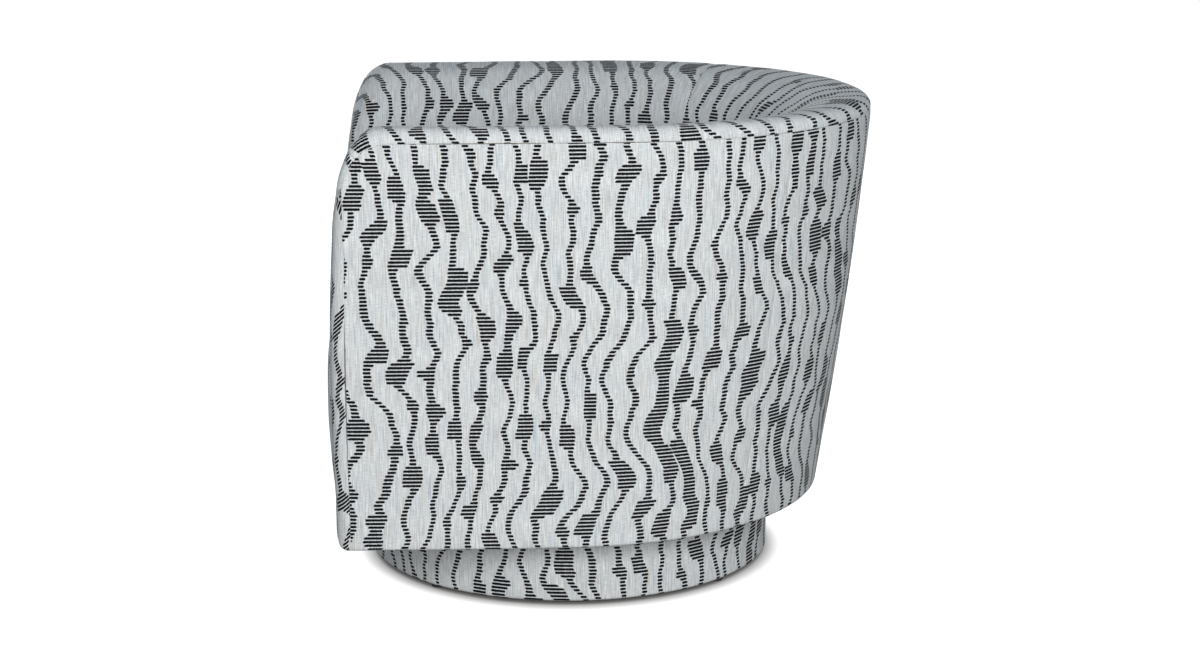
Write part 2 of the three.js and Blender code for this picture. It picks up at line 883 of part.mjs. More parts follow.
function outsideArm(side) {
  const seam = outsideSeamAngle - seamGap / 2 / tubHalfWidth;
  const corner = panelCornerRadius;
  const front = roundedArmStations(side, frontSeamY, corner, panelCornerSteps, armSteps);
  const stations = throughArc(side, front, seam);
  return wallBody(stations, (station) => {
    const distance = atRoundedFront(station) ? station.y - frontSeamY : corner;
    const fall = roundedFall(distance, corner, corner);
    return outsideSection(rimSeamHeight - fitGap - fall);
  });
}

function outsideBack() {
  const seam = outsideSeamAngle + seamGap / 2 / tubHalfWidth;
  const stations = arcStations(seam, Math.PI - seam);
  return wallBody(stations, () => outsideSection(rimSeamHeight - fitGap));
}

// Full section of the padded wall: outer face, rolled rim and crowned inner face
function paddedSection(foot, thickness, fall, edge) {
  const crown = rimCrownHeight - fall;
  const shoulder = crown - rimOuterRise;
  const crownInset = THREE.MathUtils.lerp(0, thickness, rimCrownShare);
  const roll = thickness - crownInset;
  const section = [];
  const faceSteps = 3;
  for (let i = 0; i < faceSteps; i += 1) {
    section.push([edge, THREE.MathUtils.lerp(foot, shoulder, i / faceSteps)]);
  }
  const outerSteps = 4;
  for (let i = 0; i < outerSteps; i += 1) {
    const turn = (Math.PI / 2) * (i / outerSteps);
    const inset = Math.max(edge, crownInset * (1 - Math.cos(turn)));
    section.push([inset, shoulder + rimOuterRise * Math.sin(turn)]);
  }
  const rollSteps = 7;
  const rollDrop = Math.min(rimRollDrop, shoulder - foot);
  for (let i = 0; i < rollSteps; i += 1) {
    const turn = (Math.PI / 2) * (i / rollSteps);
    const inset = crownInset + roll * Math.sin(turn);
    section.push([Math.min(inset, thickness - edge), crown - rollDrop * (1 - Math.cos(turn))]);
  }
  const innerSteps = 6;
  const rollFoot = crown - rollDrop;
  for (let i = 0; i <= innerSteps; i += 1) {
    const share = i / innerSteps;
    const height = THREE.MathUtils.lerp(rollFoot, foot, share);
    section.push([thickness - edge + insideSwell(height, rollFoot), height]);
  }
  return section;
}

// How far the inner face swells between the seat and the roll of the rim
function insideSwell(height, rollFoot) {
  if (height <= insideCrownFoot || height >= rollFoot) {
    return 0;
  }
  const t = (height - insideCrownFoot) / (rollFoot - insideCrownFoot);
  return insideCrown * Math.sin(Math.PI * t);
}

// Padding of an arm: one wrap from the inside, over the rim and round the front of the arm
function insideArm(side) {
  const seam = insideSeamAngle - seamGap / 2 / tubHalfWidth;
  const depth = frontCornerDepth;
  const front = roundedArmStations(side, armFrontY, depth, padCornerSteps, shellArmSteps);
  const stations = throughArc(side, front, seam);
  const rings = stations.map((station) => {
    const distance = atRoundedFront(station) ? station.y - armFrontY : depth;
    const fall = roundedFall(distance, depth, frontCornerDrop);
    const edge = roundedFall(distance, frontPadEdgeRadius, frontPadEdgeRadius);
    const thickness = wallThickness(stationAngle(station));
    return paddedSection(tubFloorHeight, thickness, fall, edge).map(([inset, height]) => {
      const point = wallPoint(station, inset, height);
      point.y += frontBow(point.y, height);
      return point;
    });
  });
  const envelope = loft(rings);
  return cutBy(envelope, [wallCavity(side), underSeatCavity(side)]);
}

// The arm's front is fullest at seat height and leans back above and below
function frontBow(y, height) {
  const share = THREE.MathUtils.clamp(1 - (y - armFrontY) / frontPadBowDepth, 0, 1);
  const away = Math.min(1, Math.abs(height - frontPadBowHeight) / frontPadBowSpan);
  return frontPadBow * share * away * away;
}

// The room that frame, liner and outside panel take inside an arm's padding
function wallCavity(side) {
  const corner = panelCornerRadius;
  const front = roundedArmStations(side, frontSeamY, corner, panelCornerSteps, shellArmSteps);
  const stations = throughArc(side, front, insideSeamAngle + overrun / tubHalfWidth);
  return wallBody(stations, (station) => {
    const distance = atRoundedFront(station) ? station.y - frontSeamY : corner;
    const top = rimSeamHeight - roundedFall(distance, corner, corner);
    return slabSection(padInset, -overrun, tubFloorHeight - overrun, top, panelHeightSteps);
  });
}

// The room under the seat, where the padding stops
function underSeatCavity(side) {
  const front = armStations(side, frontSeamY, shellArmSteps);
  const stations = throughArc(side, front, insideSeamAngle + overrun / tubHalfWidth);
  const depth = backThickness + overrun;
  const foot = tubFloorHeight - overrun;
  return wallBody(stations, () => slabSection(depth, 0, foot, padFoot, cavityHeightSteps));
}

// Padding of the back, hooked over the top rail
function insideBack() {
  const seam = insideSeamAngle + seamGap / 2 / tubHalfWidth;
  const stations = arcStations(seam, Math.PI - seam);
  return wallBody(stations, (station) => {
    const thickness = wallThickness(stationAngle(station));
    const whole = paddedSection(deckFoot, thickness, 0, 0);
    const faceSteps = 3;
    const upper = whole.slice(faceSteps);
    const behind = [];
    const steps = 4;
    for (let i = 0; i <= steps; i += 1) {
      behind.push([padInset, THREE.MathUtils.lerp(deckFoot, rimSeamHeight, i / steps)]);
    }
    return [...upper, ...behind];
  });
}

// Seat: a crowned pad whose cover falls over the front rail in one sweep
function seatPad() {
  const innerAt = (y, height) => halfWidthInside(y, armThickness + softGap, height);
  const baseHeight = seatPadFoot;
  const centre = backCentre(baseHeight);
  const backDepth = tubHalfWidth - backThickness - softGap;
  const backY = centre + backDepth;
  const ys = [];
  const noseSteps = 7;
  for (let i = 0; i < noseSteps; i += 1) {
    const turn = (Math.PI / 2) * (i / noseSteps);
    ys.push(-seatFrontReach + seatNoseDepth * (1 - Math.cos(turn)));
  }
  const runSteps = 4;
  for (let i = 0; i < runSteps; i += 1) {
    ys.push(THREE.MathUtils.lerp(-seatFrontReach + seatNoseDepth, centre, i / runSteps));
  }
  const arcSteps = 9;
  const lastTurnShare = 0.985;
  for (let i = 0; i <= arcSteps; i += 1) {
    const turn = (Math.PI / 2) * Math.min(i / arcSteps, lastTurnShare);
    ys.push(centre + backDepth * Math.sin(turn));
  }
  const rings = ys.map((y) => seatRing(y, centre, backY, innerAt));
  const under = block(
    2 * tubHalfWidth,
    2 * tubHalfWidth,
    seatPadFoot - tubFloorHeight + overrun,
    0,
    tubHalfWidth - seatFrontReach + seatApronThickness,
    tubFloorHeight - overrun,
  );
  return cutBy(loft(rings), [under]);
}

// One cross-section of the seat at a place along its depth
function seatRing(y, centre, backY, innerAt) {
  const fromFront = y + seatFrontReach;
  const fall = roundedFall(fromFront, seatNoseDepth, seatNoseDrop);
  const edge = roundedFall(fromFront, seatSideEdgeRadius, seatSideEdgeRadius);
  const roundShare = y > centre ? (y - centre) / (backY - centre) : 0;
  const armY = Math.min(y, centre);
  const full = Math.min(innerAt(armY, tubFloorHeight), innerAt(armY, seatTopHeight));
  const half = full * Math.sqrt(Math.max(0, 1 - roundShare * roundShare)) - edge;
  const topSteps = 14;
  const ring = [];
  for (let i = 0; i <= topSteps; i += 1) {
    const across = Math.sin((Math.PI / 2) * (1 - (2 * i) / topSteps));
    const share = Math.hypot((across * half) / full, roundShare);
    const crown = seatCrown * (1 - share * share) - seatEdgeDrop * share ** 6;
    ring.push(new THREE.Vector3(across * half, y, seatTopHeight + crown - fall));
  }
  const edgeTop = ring[topSteps].z;
  const sideSteps = 5;
  const sideHeight = (i) => THREE.MathUtils.lerp(edgeTop, tubFloorHeight, i / sideSteps);
  for (let i = 1; i <= sideSteps; i += 1) {
    ring.push(new THREE.Vector3(-half, y, sideHeight(i)));
  }
  for (let i = sideSteps; i > 0; i -= 1) {
    ring.push(new THREE.Vector3(half, y, sideHeight(i)));
  }
  return ring.map((point) => seatShift(point, backY));
}

// The seat's front leans in towards the floor, and its back follows the rake of the tub
function seatShift(point, backY) {
  const low = Math.max(0, (seatApronBowHeight - point.z) / (seatApronBowHeight - tubFloorHeight));
  const nearFront = THREE.MathUtils.clamp(1 - (point.y + seatFrontReach) / seatNoseDepth, 0, 1);
  const deepShare = (point.y + seatFrontReach) / (backY + seatFrontReach);
  const rake = backReach(point.z) - backReach(seatPadFoot);
  const shifted = point.clone();
  shifted.y += seatApronBow * low * low * nearFront + rake * deepShare * deepShare;
  return shifted;
}

// Cloth deck over the springs
function springDeck() {
  const inset = armThickness + 2 * softGap;
  const shape = new THREE.Shape();
  const frontY = frontSeamY + fitGap;
  const centre = backCentre(deckFoot);
  const halfFront = armHalfWidth(frontY, inset, deckFoot);
  shape.moveTo(-halfFront, frontY);
  shape.lineTo(halfFront, frontY);
  const steps = 18;
  const depth = tubHalfWidth - backThickness - 2 * softGap;
  const half = tubHalfWidth - inset;
  for (let i = 0; i <= steps; i += 1) {
    const turn = Math.PI * (i / steps);
    shape.lineTo(half * Math.cos(turn), centre + depth * Math.sin(turn));
  }
  const deck = new THREE.ExtrudeGeometry(shape, { depth: deckThickness, bevelEnabled: false });
  deck.translate(0, 0, deckFoot);
  return deck;
}

// The springs' places across the seat, with the y where each ends on the seat rail
function springRuns() {
  const runs = [];
  const inset = linerInset + seatRailThickness;
  const frontY = frontSeamY + fitGap + frontRailThickness - springEndBearing;
  for (let i = 0; i < springCount; i += 1) {
    const x = (i - (springCount - 1) / 2) * springSpacing;
    const widest = Math.abs(x) + springWaveWidth / 2;
    const radius = tubHalfWidth - inset;
    const backY = backCentre(seatRailTop) + Math.sqrt(radius * radius - widest * widest);
    runs.push({ x, frontY, backY: backY + springEndBearing });
  }
  return runs;
}

// Sinuous spring from the front rail to the back of the seat rail
function seatSpring({ x, frontY, backY }) {
  const height = seatRailTop + fitGap + springWireDiameter / 2;
  const waves = Math.round((backY - frontY) / springWavePitch);
  const pitch = (backY - frontY) / waves;
  const straight = pitch * springTailShare;
  const points = [
    new THREE.Vector3(x, frontY, height),
    new THREE.Vector3(x, frontY + straight, height),
  ];
  for (let i = 0; i < waves; i += 1) {
    const way = i % 2 ? -1 : 1;
    const start = frontY + i * pitch;
    const reach = (way * springWaveWidth) / 2;
    points.push(new THREE.Vector3(x + reach, start + pitch / 4, height));
    points.push(new THREE.Vector3(x + reach, start + (3 * pitch) / 4, height));
  }
  points.push(new THREE.Vector3(x, backY - straight, height));
  points.push(new THREE.Vector3(x, backY, height));
  return wire(points, springWireDiameter / 2, wireSides);
}

// A wire of even section through a list of points at one height
function wire(points, radius, sides) {
  const up = new THREE.Vector3(0, 0, 1);
  const rings = points.map((point, i) => {
    const before = points[Math.max(0, i - 1)];
    const after = points[Math.min(points.length - 1, i + 1)];
    const along = new THREE.Vector3().subVectors(after, before).normalize();
    const across = new THREE.Vector3().crossVectors(along, up);
    const ring = [];
    for (let k = 0; k < sides; k += 1) {
      const turn = (2 * Math.PI * k) / sides;
      const offset = across.clone().multiplyScalar(radius * Math.cos(turn));
      ring.push(offset.addScaledVector(up, radius * Math.sin(turn)).add(point));
    }
    return ring;
  });
  return loft(rings);
}

// Plan outline of the space inside an inset at one height
function planShape(inset, height, frontY) {
  const outline = wholeRun(frontY, armSteps).map((station) => wallPoint(station, inset, height));
  return new THREE.Shape(outline.map((point) => new THREE.Vector2(point.x, point.y)));
}

// Thin cloth that closes the tub from below, open round the mount board
function dustCover() {
  const shape = planShape(panelThickness + fitGap, tubFloorHeight, frontSeamY + fitGap);
  const half = mountBoardSide / 2 + fitGap;
  const hole = new THREE.Path();
  hole.moveTo(-half, -half);
  hole.lineTo(-half, half);
  hole.lineTo(half, half);
  hole.lineTo(half, -half);
  shape.holes.push(hole);
  const cover = new THREE.ExtrudeGeometry(shape, {
    depth: dustCoverThickness - fitGap,
    bevelEnabled: false,
  });
  cover.translate(0, 0, tubFloorHeight);
  return cover;
}

// Adds the copies of a repeated piece, numbered from 1
function addEach(name, finish, places, make) {
  places.forEach((place, i) => add(`${name}_${i + 1}`, finish, make(place)));
}

const lowerScrewPlaces = aroundCircle(plateScrewCount, plateScrewCircle);
const upperScrewPlaces = aroundCircle(plateScrewCount, plateScrewCircle, screwTurn);
const lowerScrewSeat = lowerPlateFoot + plateThickness;
const upperScrewSeat = upperPlateTop - plateThickness;

// Plinth and the fixed half of the bearing
addEach("floor_glide", "nylon", glidePlaces(), floorGlide);
add("plinth_ring", "timber", plinthRing());
add("plinth_top_board", "plywood", plinthTopBoard());
add("plinth_cover", "fabric", plinthCover());
add("swivel_lower_plate", "steel", bearingPlate(-1, 0));
addEach("lower_plate_screw", "zinc", lowerScrewPlaces, (at) => plateScrew(1, lowerScrewSeat, at));
add("kingpin", "zinc", kingpin());
add("kingpin_washer", "nylon", kingpinWasher());

// The cage turns at half the speed of the tub
add("ball_cage", "steel", ballCage());

// The turning half of the bearing and what carries the tub on it
add("swivel_upper_plate", "steel", bearingPlate(1, screwTurn));
addEach("upper_plate_screw", "zinc", upperScrewPlaces, (at) => plateScrew(-1, upperScrewSeat, at));
add("swivel_mount_board", "plywood", mountBoard());
addEach("mount_board_bolt", "zinc", boardBoltPlaces(), boardBolt);
add("cross_bearer_front", "timber", crossBearer(-bearerOffset));
add("cross_bearer_rear", "timber", crossBearer(bearerOffset));

// Timber frame
add("floor_board", "plywood", floorBoard());
add("front_rail", "timber", frontRail());
add("seat_rail", "plywood", seatRail());
for (const [name, side] of [["right", 1], ["left", -1]]) {
  add(`corner_block_${name}`, "timber", cornerBlock(side));
  add(`front_post_${name}`, "timber", frontPost(side));
  add(`arm_post_${name}`, "timber", wallPost({ side, y: armPostY }));
  const rearAngle = side > 0 ? rearPostAngle : Math.PI - rearPostAngle;
  const backAngle = side > 0 ? backPostAngle : Math.PI - backPostAngle;
  add(`rear_post_${name}`, "timber", wallPost({ angle: rearAngle }));
  add(`back_post_${name}`, "timber", wallPost({ angle: backAngle }));
}
add("back_post_middle", "timber", wallPost({ angle: Math.PI / 2 }));
add("top_rail", "plywood", topRail());
add("wall_liner", "board", wallLiner());

// Seat suspension
addEach("seat_spring", "springSteel", springRuns(), seatSpring);
add("spring_deck", "cloth", springDeck());

// Upholstery
add("seat_pad", "fabric", seatPad());
for (const [name, side] of [["right", 1], ["left", -1]]) {
  add(`inside_arm_${name}`, "fabric", insideArm(side));
  add(`outside_arm_${name}`, "fabric", outsideArm(side));
}
add("inside_back", "fabric", insideBack());
add("outside_back", "fabric", outsideBack());
add("dust_cover", "cloth", dustCover());

// The origin goes under the middle of the overall length
chair.position.y = (seatFrontReach - rimBackY) / 2;

export default chair;
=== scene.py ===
"""Dresses the swivel barrel chair: covers, finishes, light and camera.

Metres, +Z up, the front of the chair faces -Y. The covers are worked out in the tub's own
frame, whose origin is where the swivel axis meets the floor, and are then moved by AXIS_Y.
"""

import json
import math

import bmesh
import bpy
import numpy as np
from bpy.props import FloatProperty, FloatVectorProperty, PointerProperty
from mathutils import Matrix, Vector, noise


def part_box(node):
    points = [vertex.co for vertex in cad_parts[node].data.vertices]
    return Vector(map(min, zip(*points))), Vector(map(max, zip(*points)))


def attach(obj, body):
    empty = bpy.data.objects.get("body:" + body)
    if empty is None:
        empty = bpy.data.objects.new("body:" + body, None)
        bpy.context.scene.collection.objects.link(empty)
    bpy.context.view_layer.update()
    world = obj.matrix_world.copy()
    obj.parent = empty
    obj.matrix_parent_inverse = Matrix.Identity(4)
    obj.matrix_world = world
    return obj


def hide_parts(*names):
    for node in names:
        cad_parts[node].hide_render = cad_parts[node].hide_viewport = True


bl_info = {
    "name": "Swivel Barrel Chair",
    "version": (1, 0, 0),
    "blender": (4, 5, 0),
    "location": "3D View > Sidebar > Barrel Chair",
    "description": "Covers, finishes, light and camera for a swivel barrel chair",
    "category": "Object",
}

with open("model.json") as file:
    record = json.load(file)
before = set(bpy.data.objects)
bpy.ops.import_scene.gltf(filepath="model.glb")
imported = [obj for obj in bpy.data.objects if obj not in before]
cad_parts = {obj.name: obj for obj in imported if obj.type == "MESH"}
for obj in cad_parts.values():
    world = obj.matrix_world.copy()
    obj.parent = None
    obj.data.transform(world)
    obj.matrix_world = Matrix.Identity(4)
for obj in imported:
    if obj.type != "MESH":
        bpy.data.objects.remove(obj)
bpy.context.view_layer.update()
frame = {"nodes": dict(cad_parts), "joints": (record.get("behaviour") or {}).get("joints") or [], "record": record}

# Sizes read from the frame
AXIS_Y = frame["joints"][0]["pos_m"][1]
PANEL_LOW, PANEL_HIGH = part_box("outside_arm_right")
_, BACK_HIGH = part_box("outside_back")
WRAP_LOW, WRAP_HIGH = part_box("inside_arm_right")
SEAT_LOW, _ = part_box("seat_pad")
PLINTH_LOW, PLINTH_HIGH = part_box("plinth_cover")

HALF_WIDTH = PANEL_HIGH.x
TUB_FOOT = PANEL_LOW.z
RIM_SEAM = BACK_HIGH.z
CROWN_SWELL = 0.002
RIM_CROWN = WRAP_HIGH.z + CROWN_SWELL
FRONT_SEAM = PANEL_LOW.y - AXIS_Y
ARM_FRONT = WRAP_LOW.y - AXIS_Y
SEAT_FRONT = SEAT_LOW.y - AXIS_Y
RIM_BACK = BACK_HIGH.y - AXIS_Y
PLINTH_RADIUS = PLINTH_HIGH.x
PLINTH_TOP = PLINTH_HIGH.z
PLINTH_FOOT = PLINTH_LOW.z

# Form of the tub, close to the model
FOOT_BACK = 0.360
BACK_BOW = 0.0055
ARM_TOE_IN = 0.008
ARM_THICKNESS = 0.116
BACK_THICKNESS = 0.142
PANEL_CORNER = 0.061
RIM_RISE = 0.019
ROLL_DROP = 0.084
CROWN_SHARE = 0.17
INSIDE_SWELL = 0.008
SWELL_FOOT = 0.440
FRONT_EDGE = 0.018
FRONT_CROWN = 0.007
CORNER_DEPTH = 0.072
CORNER_DROP = 0.088
FRONT_BOW_HEIGHT = 0.330
LEAN_ABOVE = 0.016
LEAN_ABOVE_SPAN = 0.300
LEAN_BELOW = 0.0035
LEAN_BELOW_SPAN = 0.160
FRONT_BOW_DEPTH = 0.110
FRONT_FOOT_RADIUS = 0.013
FRONT_FOOT_DEPTH = 0.0065
OUTSIDE_SEAM_ANGLE = math.radians(37)
INSIDE_SEAM_ANGLE = math.radians(32)

# Form of the seat, close to the model
SEAT_TOP = 0.440
SEAT_CROWN = 0.007
SEAT_EDGE_DROP = 0.026
SEAT_EDGE_SHARPNESS = 8
SEAT_NOSE_DEPTH = 0.070
SEAT_NOSE_DROP = 0.160
SEAT_APRON_BOW = 0.010
SEAT_APRON_BOW_HEIGHT = 0.275
SEAT_GAP = 0.0005
SEAT_APRON_EDGE = 0.018
SEAT_APRON_TUCK = 0.001
SEAT_CORNER_FILL = 0.0035

# Mesh rows and columns of the curved parts
TURN_POINTS = 24
DROP_POINTS = 60
SEAT_BACK_ROWS = 34
SEAT_NOSE_ROWS = 30
SEAT_COLUMNS = 110
PLINTH_COLUMNS = 361
PLINTH_ROWS = 16
PLINTH_TURN_ROWS = 7
LIP_STEPS = 4

# The plinth's cover
PLINTH_EDGE = 0.004
PLINTH_TOP_REACH = 0.03
PLINTH_TUCK = 0.01
PLINTH_CLOTH_SHIFT = 3.0

# Puckers along each kind of seam, as their pitch and how far they reach from it
RIM_PUCKERS = (0.021, 0.014)
SIDE_PUCKERS = (0.024, 0.012)
END_PUCKERS = (0.026, 0.012)
SEAT_LEFT_PULLS = (0.045, 0.03)
SEAT_RIGHT_PULLS = (0.041, 0.03)
PLINTH_PUCKERS = (0.05, 0.02)
PUCKER_WAVES = ((1.0, 1.0, 1.0), (0.7, 1.618, 2.4), (0.5, 0.55, 5.1))
SEAM_DIP_REACH = 0.006

# Gathers round the arm's top front corner, by their place along the seam
GATHER_PITCH = 0.0088
GATHER_SWAY = 2.5
GATHER_SWAY_RUN = 0.011
GATHER_REACH = 0.017
GATHER_START = 0.012
GATHER_RISE = 0.02
GATHER_END = 0.150
GATHER_FALL = 0.05
GATHER_ROOT = 0.004
GATHER_ROOT_RUN = 0.010
SEAM_SLACK = 0.001

# Where the cloth's lines follow the rim seam round that corner
FAN_RADIUS = 0.067
FAN_RUN = 0.05
FAN_INSET = 0.100
FAN_FADE = 0.065

# Where the -X side lies on the cloth from the +X side, and each cover's share of the softness
OUTSIDE_LEFT_SHIFT = (1.93, 0.11)
INSIDE_LEFT_SHIFT = (2.37, 0.23)
OUTSIDE_SOFTNESS = 0.5
INSIDE_SOFTNESS = 0.6
PLINTH_SOFTNESS = 0.3
SEAT_SOFT_SPAN = 1.4

TINY = 1e-9
WELD_DISTANCE = 0.0001
CLOTH_MAP = "Cloth"


def coordinates(*values):
    """Numbers or arrays joined as the coordinates of points."""
    return np.stack(np.broadcast_arrays(*values), axis=-1)


def unit(vectors):
    """Vectors brought to a length of one."""
    return vectors / np.maximum(np.linalg.norm(vectors, axis=-1, keepdims=True), TINY)


def between(first, second, share):
    """The value at a share of the way from one to another."""
    return first + (second - first) * share


def back_reach(z):
    """How far behind the axis the outside of the back lies at a height."""
    t = np.clip((z - TUB_FOOT) / (RIM_SEAM - TUB_FOOT), 0, 1)
    return between(FOOT_BACK, RIM_BACK, t) + BACK_BOW * 4 * t * (1 - t)


def back_centre(z):
    """Centre of the round back at a height."""
    return back_reach(z) - HALF_WIDTH


def wall_thickness(angle):
    """Thickness of the padded wall at an angle round the back."""
    return between(ARM_THICKNESS, BACK_THICKNESS, np.sin(angle) ** 2)


def rounded_fall(distance, depth, fall):
    """How far a rounded edge falls back at a distance from its end."""
    left = np.clip(1 - distance / depth, 0, 1)
    return fall * (1 - np.sqrt(1 - left * left))


def arm_half_width(y, inset, z):
    """Half width of the tub, less an inset, at a place along the straight arms."""
    centre = back_centre(z)
    run = np.maximum(0, (centre - y) / (centre - FRONT_SEAM))
    return HALF_WIDTH - inset - ARM_TOE_IN * run * run


def wall_point(start, share, angle, inset, z):
    """Points of the wall on the +X side: along the arm from y start, then round the back."""
    centre = back_centre(z)
    y_arm = between(start, centre, share)
    x_arm = arm_half_width(y_arm, inset, z)
    radius = HALF_WIDTH - inset
    on_arc = angle > 0
    x = np.where(on_arc, radius * np.cos(angle), x_arm)
    y = np.where(on_arc, centre + radius * np.sin(angle), y_arm)
    return coordinates(x, y, z)


def smooth(t):
    """A step with soft ends, from 0 to 1."""
    t = np.clip(t, 0, 1)
    return t * t * (3 - 2 * t)


def lengths_along(points, axis):
    """Distance from the first point of each line of a grid."""
    steps = np.linalg.norm(np.diff(points, axis=axis), axis=-1)
    pad = [(0, 0)] * steps.ndim
    pad[axis] = (1, 0)
    return np.pad(np.cumsum(steps, axis=axis), pad)


def grid_normals(points):
    """Normals of a grid of points, on the side where rows cross columns."""
    return unit(np.cross(np.gradient(points, axis=0), np.gradient(points, axis=1)))


class Patch:
    """A grid of points with its place on the cloth, both in metres."""

    def __init__(self, points, cloth):
        self.points = points
        self.cloth = cloth

    def edge(self, side):
        """Points, cloth places, outward run and normals of one side."""
        end, line = side.split("_")
        last, before = (0, 1) if end == "first" else (-1, -2)
        grids = (self.points, self.cloth, grid_normals(self.points))
        if line == "column":
            grids = (np.swapaxes(grid, 0, 1) for grid in grids)
        points, cloth, normals = grids
        run = unit(points[last] - points[before])
        drift = unit(cloth[last] - cloth[before])
        return points[last], cloth[last], run, drift, normals[last]


def lip(patch, side, radius, depth, part=np.s_[:], reach=None):
    """The edge of a patch rolled over with a radius and tucked in by a depth.

    A reach gives the roll another size along the patch, so that it becomes an ellipse.
    """
    points, cloth, run, drift, normals = (values[part] for values in patch.edge(side))
    if reach is None:
        reach = radius
    rows = [points]
    cloth_rows = [cloth]
    for i in range(1, LIP_STEPS + 1):
        turn = math.pi / 2 * i / LIP_STEPS
        out = run * reach * math.sin(turn)
        down = normals * radius * (1 - math.cos(turn))
        rows.append(points + out - down)
        cloth_rows.append(cloth + drift * radius * turn)
    rows.append(rows[-1] - normals * depth)
    cloth_rows.append(cloth_rows[-1] + drift * depth)
    axis = 1 if side.endswith("column") else 0
    strip = np.stack(rows, axis=axis)
    strip_cloth = np.stack(cloth_rows, axis=axis)
    if side.startswith("first"):
        strip = np.flip(strip, axis)
        strip_cloth = np.flip(strip_cloth, axis)
    return Patch(strip, strip_cloth)


def seam_lips(patch, sizes, *sides):
    """The sides of a patch that go into seams."""
    return [lip(patch, side, sizes.seam_radius, sizes.seam_depth) for side in sides]


def mirrored(patches, cloth_shift):
    """The same patches on the -X side, on another part of the cloth."""
    flip = np.array([-1.0, 1.0, 1.0])
    return [Patch((p.points * flip)[::-1], (p.cloth + cloth_shift)[::-1]) for p in patches]


def cover(name, patches):
    """One piece of cloth made of patches that meet, welded along their shared edges."""
    mesh = bpy.data.meshes.new(name)
    build = bmesh.new()
    layer = build.loops.layers.uv.new(CLOTH_MAP)
    for patch in patches:
        rows, columns = patch.points.shape[:2]
        points = patch.points + np.array([0, AXIS_Y, 0])
        verts = [[build.verts.new(p) for p in row] for row in points.tolist()]
        cloth = patch.cloth.tolist()
        for i in range(rows - 1):
            for j in range(columns - 1):
                corners = ((i, j), (i + 1, j), (i + 1, j + 1), (i, j + 1))
                face = build.faces.new([verts[a][b] for a, b in corners])
                face.smooth = True
                for loop, (a, b) in zip(face.loops, corners):
                    loop[layer].uv = cloth[a][b]
    bmesh.ops.remove_doubles(build, verts=build.verts, dist=WELD_DISTANCE)
    bmesh.ops.dissolve_degenerate(build, edges=build.edges, dist=WELD_DISTANCE / 10)
    build.to_mesh(mesh)
    build.free()
    piece = bpy.data.objects.new(name, mesh)
    bpy.context.scene.collection.objects.link(piece)
    mesh.materials.append(kit().finishes["cover_fabric"])
    return piece


def soften(piece, height, span, seed):
    """Moves a cover in and out by the gentle unevenness of foam and cloth."""
    mesh = piece.data
    offset = Vector((seed * 3.1, seed * 1.7, seed * 2.3))
    normals = [v.normal.copy() for v in mesh.vertices]
    for vertex, normal in zip(mesh.vertices, normals):
        place = vertex.co / span + offset
        wave = noise.noise(place) + noise.noise(place * 2.3) * 0.4
        vertex.co += normal * wave * height
    mesh.update()


def ripple(along, away, height, puckers, seed):
    """Small puckers that stand across a seam and fade away from it."""
    pitch, reach = puckers
    wave = 0.0
    for share, stretch, shift in PUCKER_WAVES:
        wave = wave + share * np.sin(2 * math.pi * along / (pitch * stretch) + shift * seed)
    return height * wave * np.exp(-away / reach)


def seam_dip(nearest, sizes):
    """How far a panel falls at a distance from its nearest seam."""
    return sizes.seam_dip * np.exp(-nearest / SEAM_DIP_REACH)


def pulled(patch, amount):
    """A patch moved along its normals."""
    points = patch.points + grid_normals(patch.points) * amount[..., None]
    return Patch(points, patch.cloth)


def outline(thickness, fall, edge, outer_foot, inner_foot):
    """Fine section of the padded wall, from its outer foot over the rim, as inset and height."""
    crown = RIM_CROWN - fall
    shoulder = max(crown - RIM_RISE, outer_foot)
    crown_inset = max(thickness * CROWN_SHARE, edge + FRONT_CROWN)
    turn = np.linspace(0, math.pi / 2, TURN_POINTS)
    parts = [coordinates(edge, np.linspace(outer_foot, shoulder, TURN_POINTS))]
    inset = np.maximum(edge, crown_inset * (1 - np.cos(turn)))
    height = between(shoulder, crown, np.sin(turn))
    parts.append(coordinates(inset, height)[1:])
    inset = between(crown_inset, thickness, np.sin(turn))
    height = crown - ROLL_DROP * (1 - np.cos(turn))
    parts.append(coordinates(np.minimum(inset, thickness - edge), height)[1:])
    roll_foot = crown - ROLL_DROP
    height = np.linspace(roll_foot, inner_foot, DROP_POINTS)
    t = np.clip((height - SWELL_FOOT) / (roll_foot - SWELL_FOOT), 0, 1)
    inset = thickness - edge + INSIDE_SWELL * np.sin(math.pi * t)
    parts.append(coordinates(inset, height)[1:])
    return np.concatenate(parts)


def resampled(line, count):
    """A line of points taken again at even steps, with its length."""
    run = lengths_along(line, 0)
    even = np.linspace(0, run[-1], count)
    return coordinates(*(np.interp(even, run, line[:, k]) for k in range(2))), run[-1]


def front_lean(z):
    """How far an arm's front leans back at a height from where it is fullest."""
    above = np.clip((z - FRONT_BOW_HEIGHT) / LEAN_ABOVE_SPAN, 0, 1)
    below = np.clip((FRONT_BOW_HEIGHT - z) / LEAN_BELOW_SPAN, 0, 1)
    return LEAN_ABOVE * above**2 + LEAN_BELOW * below**2


def front_bow(points):
    """Points of an arm's wrap, leant back where they are near its front."""
    share = np.clip(1 - (points[..., 1] - ARM_FRONT) / FRONT_BOW_DEPTH, 0, 1)
    bowed = points.copy()
    bowed[..., 1] += front_lean(points[..., 2]) * share * share
    return bowed


def outside_cloth(points, angle):
    """Place on the cloth of an outside panel, whose threads stay upright along the arm."""
    centre = back_centre(points[..., 2])
    level = back_centre(SWELL_FOOT)
    round_run = level + HALF_WIDTH * angle + (centre - level) * np.cos(angle)
    along = np.where(angle > 0, round_run, points[..., 1]) - FRONT_SEAM
    return coordinates(along, points[..., 2])


